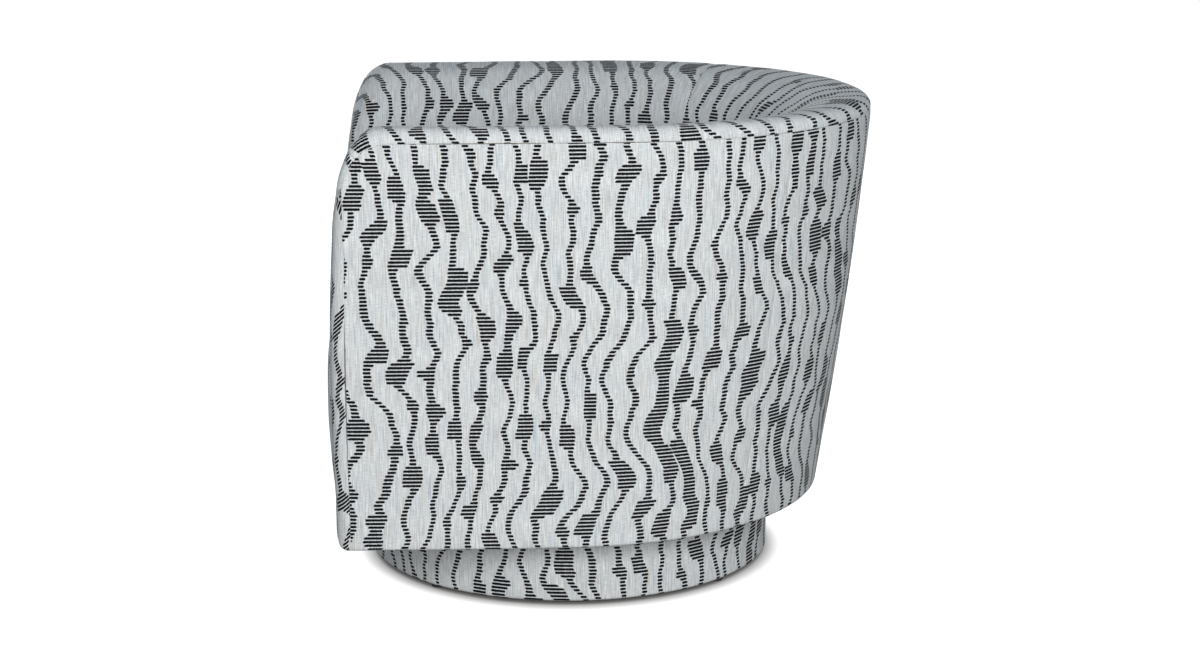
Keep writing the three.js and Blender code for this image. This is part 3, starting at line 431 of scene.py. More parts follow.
def panel_corner_fall(y):
    """How far the rim seam falls at the rounded top front corner of an outside panel."""
    return rounded_fall(y - FRONT_SEAM, PANEL_CORNER, PANEL_CORNER)


def arm_run(start, end_angle, step):
    """Stations along an arm from a y, then round the back, as share and angle."""
    arm_length = back_centre(RIM_SEAM) - start
    arm_count = max(2, int(arm_length / step))
    arc_count = max(2, int(HALF_WIDTH * end_angle / step))
    share = np.concatenate([np.arange(arm_count) / arm_count, np.ones(arc_count + 1)])
    angle = np.concatenate([np.zeros(arm_count), np.linspace(0, end_angle, arc_count + 1)])
    return share, angle


def outside_arm_patches(sizes):
    """Outside panel of the arm at +X with its rolled seams and hem."""
    radius = sizes.seam_radius
    step = sizes.mesh_step
    corner_count = int(PANEL_CORNER / step) + 4
    turn = np.linspace(0, math.pi / 2, corner_count, endpoint=False)
    corner_y = FRONT_SEAM + radius + (PANEL_CORNER - radius) * (1 - np.cos(turn))
    arm_start = FRONT_SEAM + PANEL_CORNER
    share, angle = arm_run(arm_start, OUTSIDE_SEAM_ANGLE - radius / HALF_WIDTH, step)
    start = np.concatenate([corner_y, np.full_like(share, arm_start)])
    share = np.concatenate([np.zeros(corner_count), share])
    angle = np.concatenate([np.zeros(corner_count), angle])
    nearest = between(start, back_centre(RIM_SEAM), share)
    top = RIM_SEAM - radius - panel_corner_fall(nearest - radius)
    foot = TUB_FOOT + sizes.hem_radius
    rows = np.linspace(0, 1, int((RIM_SEAM - TUB_FOOT) / step))
    z = between(foot, top[:, None], rows)
    points = wall_point(start[:, None], share[:, None], angle[:, None], 0.0, z)
    return finish_panel(points, angle[:, None], sizes, seed=1.3)


def sewn(patch, from_rim, sizes, seeds, end_puckers):
    """A panel with the puckers along its three seams and its slight fall towards them."""
    along = lengths_along(patch.points, 0)
    up = lengths_along(patch.points, 1)
    from_end = along[-1:] - along
    height = sizes.pucker_height
    amount = ripple(along, from_rim, height, RIM_PUCKERS, seeds[0])
    amount = amount + ripple(up, along, height, SIDE_PUCKERS, seeds[1])
    amount = amount + ripple(up, from_end, height, end_puckers, seeds[2])
    nearest = np.minimum(np.minimum(from_rim, along), from_end)
    return pulled(patch, amount - seam_dip(nearest, sizes))


def finish_panel(points, angle, sizes, seed):
    """An outside panel with its cloth, its puckers and its rolled edges."""
    up = lengths_along(points, 1)
    seeds = (seed, seed + 1, seed + 2)
    patch = Patch(points, outside_cloth(points, angle))
    patch = sewn(patch, up[:, -1:] - up, sizes, seeds, END_PUCKERS)
    return [
        patch,
        *seam_lips(patch, sizes, "first_row", "last_row", "last_column"),
        lip(patch, "first_column", sizes.hem_radius, sizes.hem_turn),
    ]


def outside_back_patches(sizes):
    """Outside panel of the round back."""
    edge = OUTSIDE_SEAM_ANGLE + sizes.seam_radius / HALF_WIDTH
    count = int(HALF_WIDTH * (math.pi - 2 * edge) / sizes.mesh_step)
    angle = np.linspace(edge, math.pi - edge, count)[:, None]
    top = RIM_SEAM - sizes.seam_radius
    foot = TUB_FOOT + sizes.hem_radius
    z = np.linspace(foot, top, int((top - foot) / sizes.mesh_step))
    points = wall_point(0.0, 1.0, angle, 0.0, z)
    return finish_panel(points, angle, sizes, seed=4.1)


# The rings, rows and cloths of an arm's wrap
CAP_RINGS = 9
EDGE_RINGS = 10
FRONT_RINGS = CAP_RINGS + EDGE_RINGS
CUT_RING = CAP_RINGS + 4
CORNER_RINGS = 30
CORNER_CROWDING = 1.6
WRAP_POINTS = 118
INNER_POINT = 3 * WRAP_POINTS // 4
STRIP_TOP_ROWS = 10
CAP_TOP = 0.522
CAP_CROWN = 0.003
DIVIDE_HEIGHT = 0.578
DIVIDE_CREASE = 0.0006
DIVIDE_DROP = 0.006
HIDDEN_FOOT = 0.375
HIDDEN_FROM = 0.05
HIDDEN_RUN = 0.06
INSIDE_CLOTH_RADIUS = 0.285
WEFT_SLOPE = 0.9


def wrap_foot(y):
    """Height of an arm's inner foot: the hem at the front, then hidden under the seat."""
    return between(TUB_FOOT, HIDDEN_FOOT, smooth((y - FRONT_SEAM - HIDDEN_FROM) / HIDDEN_RUN))


def wrap_rings(sizes):
    """Rings of an arm's wrap from the middle of its front to its back seam.

    Each is its distance from the arm's front, its share of the way to the round back, its
    angle round it, and how far it is drawn in to the middle of the front.
    """
    rings = [(0, 0, 0, 1 - i / CAP_RINGS) for i in range(CAP_RINGS)]
    last_edge = FRONT_EDGE - sizes.seam_radius
    for i in range(EDGE_RINGS):
        turn = math.pi / 2 * i / (EDGE_RINGS - 1)
        rings.append((last_edge * (1 - math.cos(turn)), 0, 0, 0))
    for i in range(1, CORNER_RINGS):
        part = (i / CORNER_RINGS) ** CORNER_CROWDING
        rings.append((between(last_edge, CORNER_DEPTH, part), 0, 0, 0))
    end = INSIDE_SEAM_ANGLE - sizes.seam_radius / HALF_WIDTH
    run = arm_run(ARM_FRONT + CORNER_DEPTH, end, sizes.mesh_step)
    return rings + [(CORNER_DEPTH, share, angle, 0) for share, angle in zip(*run)]


def drawn_in(section, share):
    """A ring's section drawn in towards the middle of the arm's front."""
    middle = ARM_THICKNESS / 2
    inset = middle + (section[:, 0] - middle) * (1 - share)
    above = np.maximum(section[:, 1] - CAP_TOP, 0)
    return coordinates(inset, section[:, 1] - above * share)


def wrap_grids(sizes):
    """Points of the wrap and of its front strip, and of every ring its insets, its places on
    the side's cloth and how far its foot rises to the rounded front edge."""
    grid = []
    strip = []
    insets = []
    side = []
    foot_rises = []
    for index, (distance, share, angle, drawn) in enumerate(wrap_rings(sizes)):
        start = ARM_FRONT + distance
        y = between(start, back_centre(RIM_SEAM), share)
        edge = rounded_fall(distance, FRONT_EDGE, FRONT_EDGE)
        fall = rounded_fall(distance, CORNER_DEPTH, CORNER_DROP)
        rise = rounded_fall(distance, FRONT_FOOT_RADIUS, FRONT_FOOT_RADIUS)
        seam = RIM_SEAM - panel_corner_fall(y + sizes.seam_radius) + sizes.seam_radius
        inner_foot = wrap_foot(y)
        if index < FRONT_RINGS:
            seam = min(DIVIDE_HEIGHT, RIM_CROWN - fall - RIM_RISE - DIVIDE_DROP)
            inner_foot = TUB_FOOT + sizes.hem_radius + rise
        bulge = np.array([0, CAP_CROWN * (1 - (1 - drawn) ** 2), 0])
        fine = outline(wall_thickness(angle), fall, edge, seam, inner_foot)
        section, run = resampled(fine, WRAP_POINTS)
        section = drawn_in(section, drawn)
        if index == 0:
            low = section[::-1, 1]
            low = low[low < CAP_TOP]
        line = wall_point(start, share, angle, section[:, 0], section[:, 1]) - bulge
        grid.append(line)
        insets.append(section[:, 0])
        side.append(side_cloth(line, angle, inner_foot + np.linspace(run, 0, WRAP_POINTS)))
        foot_rises.append(rise)
        if index < FRONT_RINGS:
            outer = drawn_in(strip_section(low, edge, inner_foot, seam), drawn)
            strip.append(wall_point(start, share, angle, outer[:, 0], outer[:, 1]) - bulge)
    points, strip = (front_bow(np.array(lines)) for lines in (grid, strip))
    return points, strip, np.array(insets), np.array(side), np.array(foot_rises)


def strip_section(low, edge, foot, seam):
    """Section of the arm's outer front strip, with the wrap's own heights low down."""
    low = foot + (low - low[0]) * (CAP_TOP - foot) / (CAP_TOP - low[0])
    high = np.linspace(CAP_TOP, seam, STRIP_TOP_ROWS)
    return coordinates(edge, np.concatenate([low, high]))


def wrap_cloths(points, strip, insets, side):
    """Cloth places of the arm's front, of the wrap behind it and of the front strip."""
    strip_cloth = unrolled_cloth(strip, np.array([-1.0, 0.0]))
    strip_cloth[CAP_RINGS:, :, 1] -= WEFT_SLOPE * lengths_along(strip[CAP_RINGS:], 0)
    front = unrolled_cloth(points, outward_run(points[CAP_RINGS]))
    run = lengths_along(points, 0)[:FRONT_RINGS, INNER_POINT]
    side[:FRONT_RINGS, :, 0] = (run - run[-1])[:, None]
    shift = side[CAP_RINGS, -1, 0] - front[CAP_RINGS, -1, 0]
    strip_cloth[..., 0] += shift
    front[..., 0] += shift
    return front, blended_cloth(points, insets, side), strip_cloth


def inside_arm_patches(sizes):
    """Wrap of the arm at +X: from the rim seam over the roll, inside and round the front."""
    points, strip_points, insets, side, foot_rises = wrap_grids(sizes)
    front_cloth, body_cloth, strip_cloth = wrap_cloths(points, strip_points, insets, side)
    points = points + gathered(points, sizes)
    front = Patch(points[: CUT_RING + 1], front_cloth[: CUT_RING + 1])
    body = Patch(points[CUT_RING:], body_cloth[CUT_RING:])
    from_middle = np.minimum(np.arange(FRONT_RINGS) / CAP_RINGS, 1)
    points[:FRONT_RINGS, 0, 0] -= DIVIDE_CREASE * from_middle
    points[:FRONT_RINGS, 0, 1] += DIVIDE_CREASE * from_middle
    strip_points[:, -1] = points[:FRONT_RINGS, 0]
    strip = Patch(strip_points, strip_cloth)
    behind = np.s_[FRONT_RINGS - 1 - CUT_RING :]
    reaches = sizes.hem_radius + foot_rises[:, None]
    depths = np.minimum(reaches, FRONT_FOOT_DEPTH)

    def foot_lip(patch, edge, part):
        return lip(patch, edge, depths[part], sizes.hem_turn, reach=reaches[part])

    return [
        front,
        body,
        strip,
        *seam_lips(strip, sizes, "last_row"),
        foot_lip(strip, "first_column", np.s_[:FRONT_RINGS]),
        lip(body, "first_column", sizes.seam_radius, sizes.seam_depth, behind),
        *seam_lips(body, sizes, "last_row"),
        foot_lip(body, "last_column", np.s_[CUT_RING:]),
        foot_lip(front, "last_column", np.s_[: CUT_RING + 1]),
    ]


def outward_run(ring):
    """Directions on the cloth, as across and up, that lead outwards over a front ring."""
    tangent = unit(np.gradient(coordinates(-ring[:, 0], ring[:, 2]), axis=0))
    return coordinates(-tangent[:, 1], tangent[:, 0])


def unrolled_cloth(points, outward):
    """Cloth places that lie flat on the arm's front and unroll over its edge."""
    flat = coordinates(HALF_WIDTH - points[..., 0], points[..., 2])
    run = lengths_along(points[CAP_RINGS:], 0)
    flat[CAP_RINGS:] = flat[CAP_RINGS] + run[..., None] * outward
    return flat


def side_cloth(line, angle, up):
    """Place on the cloth of the inside of an arm: along the arm, and up and over the rim."""
    centre = back_centre(line[:, 2])
    level = back_centre(SWELL_FOOT)
    if angle > 0:
        along = level + INSIDE_CLOTH_RADIUS * angle + (centre - level) * math.cos(angle)
    else:
        along = line[:, 1]
    return coordinates(along - FRONT_SEAM, up)


def fan_cloth(points, insets, seam_height):
    """Cloth places that follow the rim seam round the arm's rounded top corner."""
    back = points[..., 1] - (FRONT_SEAM + PANEL_CORNER)
    up = points[..., 2] - (RIM_SEAM - PANEL_CORNER)
    ahead = np.maximum(-back, 0)
    turn = np.arctan2(ahead, up)
    radius = np.hypot(ahead, up)
    along = PANEL_CORNER + np.maximum(back, 0) - FAN_RADIUS * turn
    step = np.hypot(np.diff(insets, axis=1), np.diff(radius, axis=1))
    away = np.pad(np.cumsum(step, axis=1), [(0, 0), (1, 0)])
    away = away + radius[:, :1] - PANEL_CORNER
    return coordinates(along, seam_height - away)


def blended_cloth(points, insets, side):
    """The side's cloth places, taken over by the fan at the outside of the top corner."""
    behind = points[:, 0, 1] - (FRONT_SEAM + PANEL_CORNER)
    level_ring = np.argmax(behind > FAN_RUN)
    fan = fan_cloth(points, insets, side[level_ring, 0, 1])
    weight = smooth((FAN_RUN - behind) / FAN_RUN)[:, None]
    weight = weight * smooth((FAN_INSET - insets) / FAN_FADE)
    return side * (1 - weight[..., None]) + fan * weight[..., None]


def gathered(points, sizes):
    """Moves of the wrap's points: gathers at the rounded corner and puckers along the seams."""
    away = lengths_along(points, 1)
    along = lengths_along(points[:, :1], 0)
    along = along - along[FRONT_RINGS - 1]
    behind = along > -SEAM_SLACK
    amount = ripple(along, away, sizes.pucker_height, RIM_PUCKERS, 2.2) * behind
    amount = amount - seam_dip(away, sizes) * behind
    corner = smooth((along + GATHER_START) / GATHER_RISE)
    corner = corner * smooth((GATHER_END - along) / GATHER_FALL)
    sway = GATHER_SWAY * np.sin(along / GATHER_SWAY_RUN)
    gathers = np.sin(2 * math.pi * along / GATHER_PITCH + sway)
    fade = np.exp(-away / GATHER_REACH) * smooth((away + GATHER_ROOT) / GATHER_ROOT_RUN)
    amount = amount + sizes.gather_height * gathers * corner * fade
    whole_run = lengths_along(points, 0)
    from_end = whole_run[-1:] - whole_run
    amount = amount + ripple(away, from_end, sizes.pucker_height, SIDE_PUCKERS, 3.3)
    amount = amount - seam_dip(from_end, sizes)
    return grid_normals(points) * amount[..., None]


def inside_back_patches(sizes):
    """Inside of the round back, hooked over the rim to the outside seam."""
    radius = sizes.seam_radius
    edge = INSIDE_SEAM_ANGLE + radius / HALF_WIDTH
    count = int(INSIDE_CLOTH_RADIUS * (math.pi - 2 * edge) / sizes.mesh_step * 1.2)
    angles = np.linspace(edge, math.pi - edge, count)
    points = []
    cloth = []
    for angle in angles:
        fine = outline(wall_thickness(angle), 0, 0, RIM_SEAM + radius, HIDDEN_FOOT)
        section, run = resampled(fine, WRAP_POINTS)
        line = wall_point(0.0, 1.0, angle, section[:, 0], section[:, 1])
        points.append(line)
        cloth.append(side_cloth(line, angle, HIDDEN_FOOT + np.linspace(run, 0, WRAP_POINTS)))
    patch = Patch(np.array(points), np.array(cloth))
    from_rim = lengths_along(patch.points, 1)
    patch = sewn(patch, from_rim, sizes, (5.2, 6.1, 7.4), SIDE_PUCKERS)
    return [patch, *seam_lips(patch, sizes, "first_row", "last_row", "first_column")]


def seat_line(sizes):
    """The seat's middle line from its back over the nose to the hem: y, z and its normal."""
    step = sizes.mesh_step
    centre = float(back_centre(SEAT_TOP))
    back_y = centre + HALF_WIDTH - BACK_THICKNESS - SEAT_GAP
    top_y = SEAT_FRONT + SEAT_NOSE_DEPTH
    arc = np.linspace(0, math.pi / 2, SEAT_BACK_ROWS)
    parts = [coordinates(centre + (back_y - centre) * np.sin(arc[::-1]), SEAT_TOP)]
    y = np.linspace(centre, top_y, int((centre - top_y) / step))[1:]
    parts.append(coordinates(y, SEAT_TOP))
    turn = np.linspace(0, math.pi / 2, SEAT_NOSE_ROWS)[1:]
    z = SEAT_TOP - SEAT_NOSE_DROP * (1 - np.cos(turn))
    parts.append(coordinates(top_y - SEAT_NOSE_DEPTH * np.sin(turn), z))
    z = np.linspace(z[-1], TUB_FOOT + sizes.hem_radius, int((z[-1] - TUB_FOOT) / step))[1:]
    parts.append(coordinates(SEAT_FRONT, z))
    line = np.concatenate(parts)
    run = unit(np.gradient(line, axis=0))
    normal = coordinates(run[:, 1], -run[:, 0])
    return line, normal, centre, back_y


def seat_grid(sizes):
    """Points of the crowned seat, and how much each row belongs to its top."""
    line, normal, centre, back_y = seat_line(sizes)
    y = line[:, :1]
    round_share = np.clip((y - centre) / (back_y - centre), 0, 1)
    arm_y = np.minimum(y, centre)
    inset = ARM_THICKNESS + SEAT_GAP + sizes.seat_edge_radius
    low_half = arm_half_width(arm_y, inset, TUB_FOOT)
    half = np.minimum(low_half, arm_half_width(arm_y, inset, SEAT_TOP))
    width = half * np.sqrt(np.clip(1 - round_share**2, 0, 1))
    spread = np.linspace(-1, 1, SEAT_COLUMNS)
    across = np.sin(spread * math.pi / 2)[None, :]
    share = np.hypot(across * width / half, round_share)
    on_top = smooth((line[:, 1:] - SEAT_TOP + SEAT_NOSE_DROP) / SEAT_NOSE_DROP)
    edge_drop = between(SEAT_APRON_EDGE, SEAT_EDGE_DROP, on_top)
    lift = SEAT_CROWN * (1 - share**2) - edge_drop * share**SEAT_EDGE_SHARPNESS
    points_y = y + normal[:, :1] * lift
    points_z = line[:, 1:] + normal[:, 1:] * lift
    low = np.clip((SEAT_APRON_BOW_HEIGHT - points_z) / (SEAT_APRON_BOW_HEIGHT - TUB_FOOT), 0, 1)
    front = np.clip(1 - (points_y - SEAT_FRONT) / SEAT_NOSE_DEPTH, 0, 1)
    points_y = points_y + SEAT_APRON_BOW * low**2 * front
    return coordinates(across * width, points_y, points_z), on_top


def seat_patches(sizes):
    """Tight seat: its crown, the fall over the front rail and the edges tucked in all round."""
    points, on_top = seat_grid(sizes)
    side = lengths_along(points, 0)
    middle_run = side[:, SEAT_COLUMNS // 2, None]
    along = middle_run[-1:] - middle_run + TUB_FOOT
    from_left = lengths_along(points, 1)
    from_right = from_left[:, -1:] - from_left
    amount = ripple(side, from_left, sizes.tuck_height, SEAT_LEFT_PULLS, 1.9)
    amount = amount + ripple(side, from_right, sizes.tuck_height, SEAT_RIGHT_PULLS, 3.7)
    patch = pulled(Patch(points, coordinates(points[..., 0], along)), amount)
    radius = sizes.seat_edge_radius
    depth = between(SEAT_APRON_TUCK, sizes.tuck_depth, on_top)
    reach = radius + SEAT_CORNER_FILL * (1 - on_top)
    return [
        patch,
        lip(patch, "first_column", radius, depth, reach=reach),
        lip(patch, "last_column", radius, depth, reach=reach),
        lip(patch, "last_row", sizes.hem_radius, sizes.hem_turn),
    ]


def plinth_profile(sizes):
    """Section of the plinth's cover from its turned-in foot to its top, as radius and height."""
    hem = sizes.hem_radius
    turn = np.linspace(0, math.pi / 2, PLINTH_TURN_ROWS)
    low = PLINTH_FOOT + hem
    high = PLINTH_TOP - PLINTH_EDGE
    foot = PLINTH_RADIUS - hem + hem * np.sin(turn)
    top = PLINTH_RADIUS - PLINTH_EDGE + PLINTH_EDGE * np.cos(turn)
    inner = PLINTH_RADIUS - PLINTH_TOP_REACH
    return np.concatenate(
        [
            [[PLINTH_RADIUS - sizes.hem_turn, PLINTH_FOOT]],
            coordinates(foot, low - hem * np.cos(turn)),
            coordinates(PLINTH_RADIUS, np.linspace(low, high, PLINTH_ROWS + 2)[1:-1]),
            coordinates(top, high + PLINTH_EDGE * np.sin(turn)),
            [[inner, PLINTH_TOP], [inner, PLINTH_TOP - PLINTH_TUCK]],
        ]
    )


def plinth_patches(sizes):
    """Cover of the plinth, closed by one seam at the back."""
    profile = plinth_profile(sizes)
    seam = sizes.seam_radius / PLINTH_RADIUS
    angle = np.linspace(math.pi / 2 + seam, math.pi * 2.5 - seam, PLINTH_COLUMNS)[:, None]
    radius, z = profile.T
    points = coordinates(radius * np.cos(angle), radius * np.sin(angle), z)
    up = lengths_along(points, 1)
    run = angle * PLINTH_RADIUS
    patch = Patch(points, coordinates(run + PLINTH_CLOTH_SHIFT, up))
    wall = (z < PLINTH_TOP - PLINTH_EDGE) & (z > PLINTH_FOOT + sizes.hem_radius)
    amount = ripple(run, PLINTH_TOP - z, sizes.pucker_height, PLINTH_PUCKERS, 8.8) * wall
    patch = pulled(patch, amount)
    return [patch, *seam_lips(patch, sizes, "first_row", "last_row")]


class Tree:
    """Short forms for adding and joining shader nodes."""

    def __init__(self, tree):
        self.tree = tree
        self.column = 0

    def add(self, kind, **settings):
        node = self.tree.nodes.new(kind)
        node.location = (self.column * 180, 0)
        self.column += 1
        for key, value in settings.items():
            setattr(node, key, value)
        return node

    def put(self, value, socket):
        """Joins a socket to another, or sets its value."""
        if isinstance(value, bpy.types.NodeSocket):
            self.tree.links.new(value, socket)
        else:
            socket.default_value = value

    def math(self, operation, *values):
        node = self.add("ShaderNodeMath", operation=operation)
        for value, socket in zip(values, node.inputs):
            self.put(value, socket)
        return node.outputs[0]

    def plus(self, first, second):
        return self.math("ADD", first, second)

    def minus(self, first, second):
        return self.math("SUBTRACT", first, second)

    def times(self, first, second):
        return self.math("MULTIPLY", first, second)

    def over(self, first, second):
        return self.math("DIVIDE", first, second)

    def times_plus(self, first, second, added):
        return self.math("MULTIPLY_ADD", first, second, added)

    def object_place(self):
        """Place on the object, in metres."""
        return self.add("ShaderNodeTexCoord").outputs["Object"]

    def vector(self, x, y, z=0.0):
        node = self.add("ShaderNodeCombineXYZ")
        for value, socket in zip((x, y, z), node.inputs):
            self.put(value, socket)
        return node.outputs[0]

    def stretched(self, vector, scale):
        node = self.add("ShaderNodeVectorMath", operation="MULTIPLY")
        self.put(vector, node.inputs[0])
        self.put(scale, node.inputs[1])
        return node.outputs[0]

    def split(self, vector):
        node = self.add("ShaderNodeSeparateXYZ")
        self.put(vector, node.inputs[0])
        return node.outputs

    def noise(self, vector, scale=1.0, detail=0.0, roughness=0.5, flat=False):
        node = self.add("ShaderNodeTexNoise", noise_dimensions="2D" if flat else "3D")
        self.put(vector, node.inputs["Vector"])
        self.put(scale, node.inputs["Scale"])
        self.put(detail, node.inputs["Detail"])
        self.put(roughness, node.inputs["Roughness"])
        return node.outputs["Fac"]

    def white(self, vector):
        node = self.add("ShaderNodeTexWhiteNoise", noise_dimensions="2D")
        self.put(vector, node.inputs["Vector"])
        return node.outputs["Value"]

    def ramp(self, value, low, high, out_low=0.0, out_high=1.0, soft=True):
        kind = "SMOOTHSTEP" if soft else "LINEAR"
        node = self.add("ShaderNodeMapRange", interpolation_type=kind)
        for item, socket in zip((value, low, high, out_low, out_high), node.inputs):
            self.put(item, socket)
        return node.outputs[0]

    def mix(self, factor, first, second, blend="MIX"):
        node = self.add("ShaderNodeMix", data_type="RGBA", blend_type=blend)
        self.put(factor, node.inputs["Factor"])
        self.put(first, node.inputs[6])
        self.put(second, node.inputs[7])
        return node.outputs[2]

    def group(self, group, **inputs):
        node = self.add("ShaderNodeGroup", node_tree=group)
        for name, value in inputs.items():
            self.put(value, node.inputs[name.replace("_", " ").title()])
        return node.outputs

    def bump(self, height, distance, strength):
        node = self.add("ShaderNodeBump")
        node.inputs["Strength"].default_value = strength
        node.inputs["Distance"].default_value = distance
        self.put(height, node.inputs["Height"])
        return node.outputs[0]


def new_group(name, inputs, outputs):
    """An empty node group that takes a place and named numbers, and gives named numbers."""
    group = bpy.data.node_groups.new(name, "ShaderNodeTree")
    new_socket = group.interface.new_socket
    new_socket("Vector", in_out="INPUT", socket_type="NodeSocketVector")
    for label, value in inputs.items():
        socket = new_socket(label, in_out="INPUT", socket_type="NodeSocketFloat")
        socket.default_value = value
    for label in outputs:
        new_socket(label, in_out="OUTPUT", socket_type="NodeSocketFloat")
    tree = Tree(group)
    return group, tree, tree.add("NodeGroupInput").outputs, tree.add("NodeGroupOutput").inputs


# The dashes' drawing, in metres: how far they stray, and how soft and ragged their edges are
DRIFT_SCALE = (3.6, 6.2, 1.0)
WANDER_PACE = 17.0
WANDER_REACH = 0.036
SWELL_PACE = 21.0
SWELL_FROM = 0.55
SWELL_TO = 0.67
LEAN_PACE = 9.0
LEAN_SHARE = 0.42
LENGTH_JITTER = 0.0016
PLACE_JITTER = 0.0012
RAGGED_SCALE = 1100.0
RAGGED_DEPTH = 0.0011
EDGE_BLUR = 0.00022
RISE_START = 0.0005
RISE_END = -0.0011


def wandering_dashes_group():
    """Dashes stacked in lines that waver and swell, as a mask and a height."""
    group, tree, given, out = new_group(
        "Wandering dashes",
        {
            "Spacing": 0.03,
            "Pitch": 0.005,
            "Length": 0.007,
            "Thickness": 0.0022,
            "Sway": 0.07,
            "Swell": 0.016,
        },
        ("Dash", "Rise"),
    )
    plus, minus, times = tree.plus, tree.minus, tree.times
    u, v, _ = tree.split(given["Vector"])
    drift = tree.noise(tree.stretched(given["Vector"], DRIFT_SCALE), flat=True, detail=1.0)
    drift = times(minus(drift, 0.5), given["Sway"])
    moved = plus(u, drift)
    line = tree.math("ROUND", tree.over(moved, given["Spacing"]))
    phase = tree.white(tree.vector(line, 3.7))
    rows = plus(tree.over(v, given["Pitch"]), phase)
    row = tree.math("FLOOR", rows)
    off_row = minus(tree.math("FRACT", rows), 0.5)
    off_row = times(off_row, given["Pitch"])
    height = times(row, given["Pitch"])

    def along_line(lane, pace, detail):
        """Noise that runs up one line of dashes at its own pace."""
        place = tree.vector(lane, times(height, pace))
        return tree.noise(place, flat=True, detail=detail)

    lane = times(line, 7.31)
    wander = minus(along_line(lane, WANDER_PACE, 1.5), 0.5)
    wander = times(wander, WANDER_REACH)
    lane = plus(lane, 41.3)
    swell = tree.ramp(along_line(lane, SWELL_PACE, 0.5), SWELL_FROM, SWELL_TO)
    lean = tree.ramp(along_line(lane, LEAN_PACE, 0.5), 0.35, 0.65, -LEAN_SHARE, LEAN_SHARE)
    jitter = minus(tree.white(tree.vector(line, row)), 0.5)
    reach = tree.times_plus(swell, given["Swell"], given["Length"])
    reach = tree.times_plus(jitter, LENGTH_JITTER, reach)
    middle = times(line, given["Spacing"])
    middle = plus(middle, wander)
    aside = times(times(swell, lean), given["Swell"])
    middle = plus(middle, aside)
    middle = tree.times_plus(jitter, PLACE_JITTER, middle)
    off = tree.math("ABSOLUTE", minus(moved, middle))
    half_thick = times(given["Thickness"], 0.5)
    straight = minus(times(reach, 0.5), half_thick)
    off = tree.math("MAXIMUM", minus(off, straight), 0.0)
    square = plus(times(off, off), times(off_row, off_row))
    distance = minus(tree.math("SQRT", square), half_thick)
    ragged = tree.noise(given["Vector"], scale=RAGGED_SCALE, flat=True, detail=1.0)
    ragged = minus(ragged, 0.5)
    distance = tree.times_plus(ragged, RAGGED_DEPTH, distance)
    tree.put(tree.ramp(distance, EDGE_BLUR, -EDGE_BLUR), out["Dash"])
    tree.put(tree.ramp(distance, RISE_START, RISE_END), out["Rise"])
    return group


def thread_group():
    """Woven threads: upright and crosswise streaks, and the height of the weave."""
    group, tree, given, out = new_group(
        "Woven threads", {"Thread": 0.0007}, ("Broad", "Fine", "Cross", "Weave")
    )
    u, v, _ = tree.split(given["Vector"])
    across = tree.over(u, given["Thread"])
    up = tree.over(v, given["Thread"])
    broad = tree.vector(tree.times(across, 0.45), tree.times(up, 0.012))
    tree.put(tree.noise(broad, flat=True, detail=2.0, roughness=0.6), out["Broad"])
    fine = tree.vector(across, tree.times(up, 0.035))
    tree.put(tree.noise(fine, flat=True, detail=1.0), out["Fine"])
    cross = tree.vector(tree.times(across, 0.09), up)
    tree.put(tree.noise(cross, flat=True, detail=1.0), out["Cross"])
    wave_u = tree.math("SINE", tree.times(across, math.pi))
    wave_v = tree.math("SINE", tree.times(up, math.pi))
    weave = tree.times(wave_u, wave_v)
    tree.put(tree.times_plus(weave, 0.5, 0.5), out["Weave"])
    return group


def grain_group():
    """Long grain along Y with darker pores, for timber, ply and board."""
    group, tree, given, out = new_group(
        "Long grain", {"Scale": 60.0, "Stretch": 0.08}, ("Figure", "Pores")
    )
    x, y, z = tree.split(given["Vector"])
    along = tree.times(y, given["Stretch"])
    place = tree.vector(x, along, z)
    bend = tree.noise(place, scale=given["Scale"], detail=3.0)
    tree.put(bend, out["Figure"])
    fine = tree.times(given["Scale"], 14.0)
    tree.put(tree.noise(place, scale=fine, detail=1.0), out["Pores"])
    return group


def scratch_group():
    """Fine scuffs and dull patches on metal and plastic."""
    group, tree, given, out = new_group("Fine scuffs", {"Scale": 400.0}, ("Scuff", "Patch"))
    place = tree.stretched(given["Vector"], (1.0, 0.12, 1.0))
    tree.put(tree.noise(place, scale=given["Scale"], detail=3.0), out["Scuff"])
    tree.put(tree.noise(given["Vector"], scale=24.0, detail=2.0), out["Patch"])
    return group


def new_material(name):
    """A material with a Principled shader, and its tree."""
    material = bpy.data.materials.new(name)
    material.use_nodes = True
    tree = Tree(material.node_tree)
    shader = material.node_tree.nodes["Principled BSDF"]
    return material, tree, shader


def join_finish(tree, shader, base, rough, height, depth, strength):
    """Joins colour, roughness and relief to a shader."""
    tree.put(base, shader.inputs["Base Color"])
    tree.put(rough, shader.inputs["Roughness"])
    tree.put(tree.bump(height, depth, strength), shader.inputs["Normal"])


def colour(values):
    """Red, green and blue with full cover."""
    return (*values, 1.0)


# Second colours of the finishes, for grain, wear and dust
MATTED_FIBRE = (0.035, 0.035, 0.037)
SETTLED_DUST = (0.07, 0.068, 0.064)
DARK_TIMBER = (0.42, 0.26, 0.13)
DARK_PLYWOOD = (0.5, 0.34, 0.18)
LIGHT_BOARD = (0.38, 0.28, 0.18)
DARK_BOARD = (0.25, 0.18, 0.11)
WORN_NYLON = (0.05, 0.05, 0.052)
PLY_THICKNESS = 0.0028

# Fresh and dull colour, and roughness, of each steel
STEELS = {
    "pressed_steel": ((0.5, 0.51, 0.52), (0.36, 0.37, 0.38), 0.28),
    "spring_steel": ((0.09, 0.095, 0.1), (0.05, 0.052, 0.055), 0.34),
    "screw_steel": ((0.62, 0.63, 0.64), (0.45, 0.45, 0.44), 0.22),
}


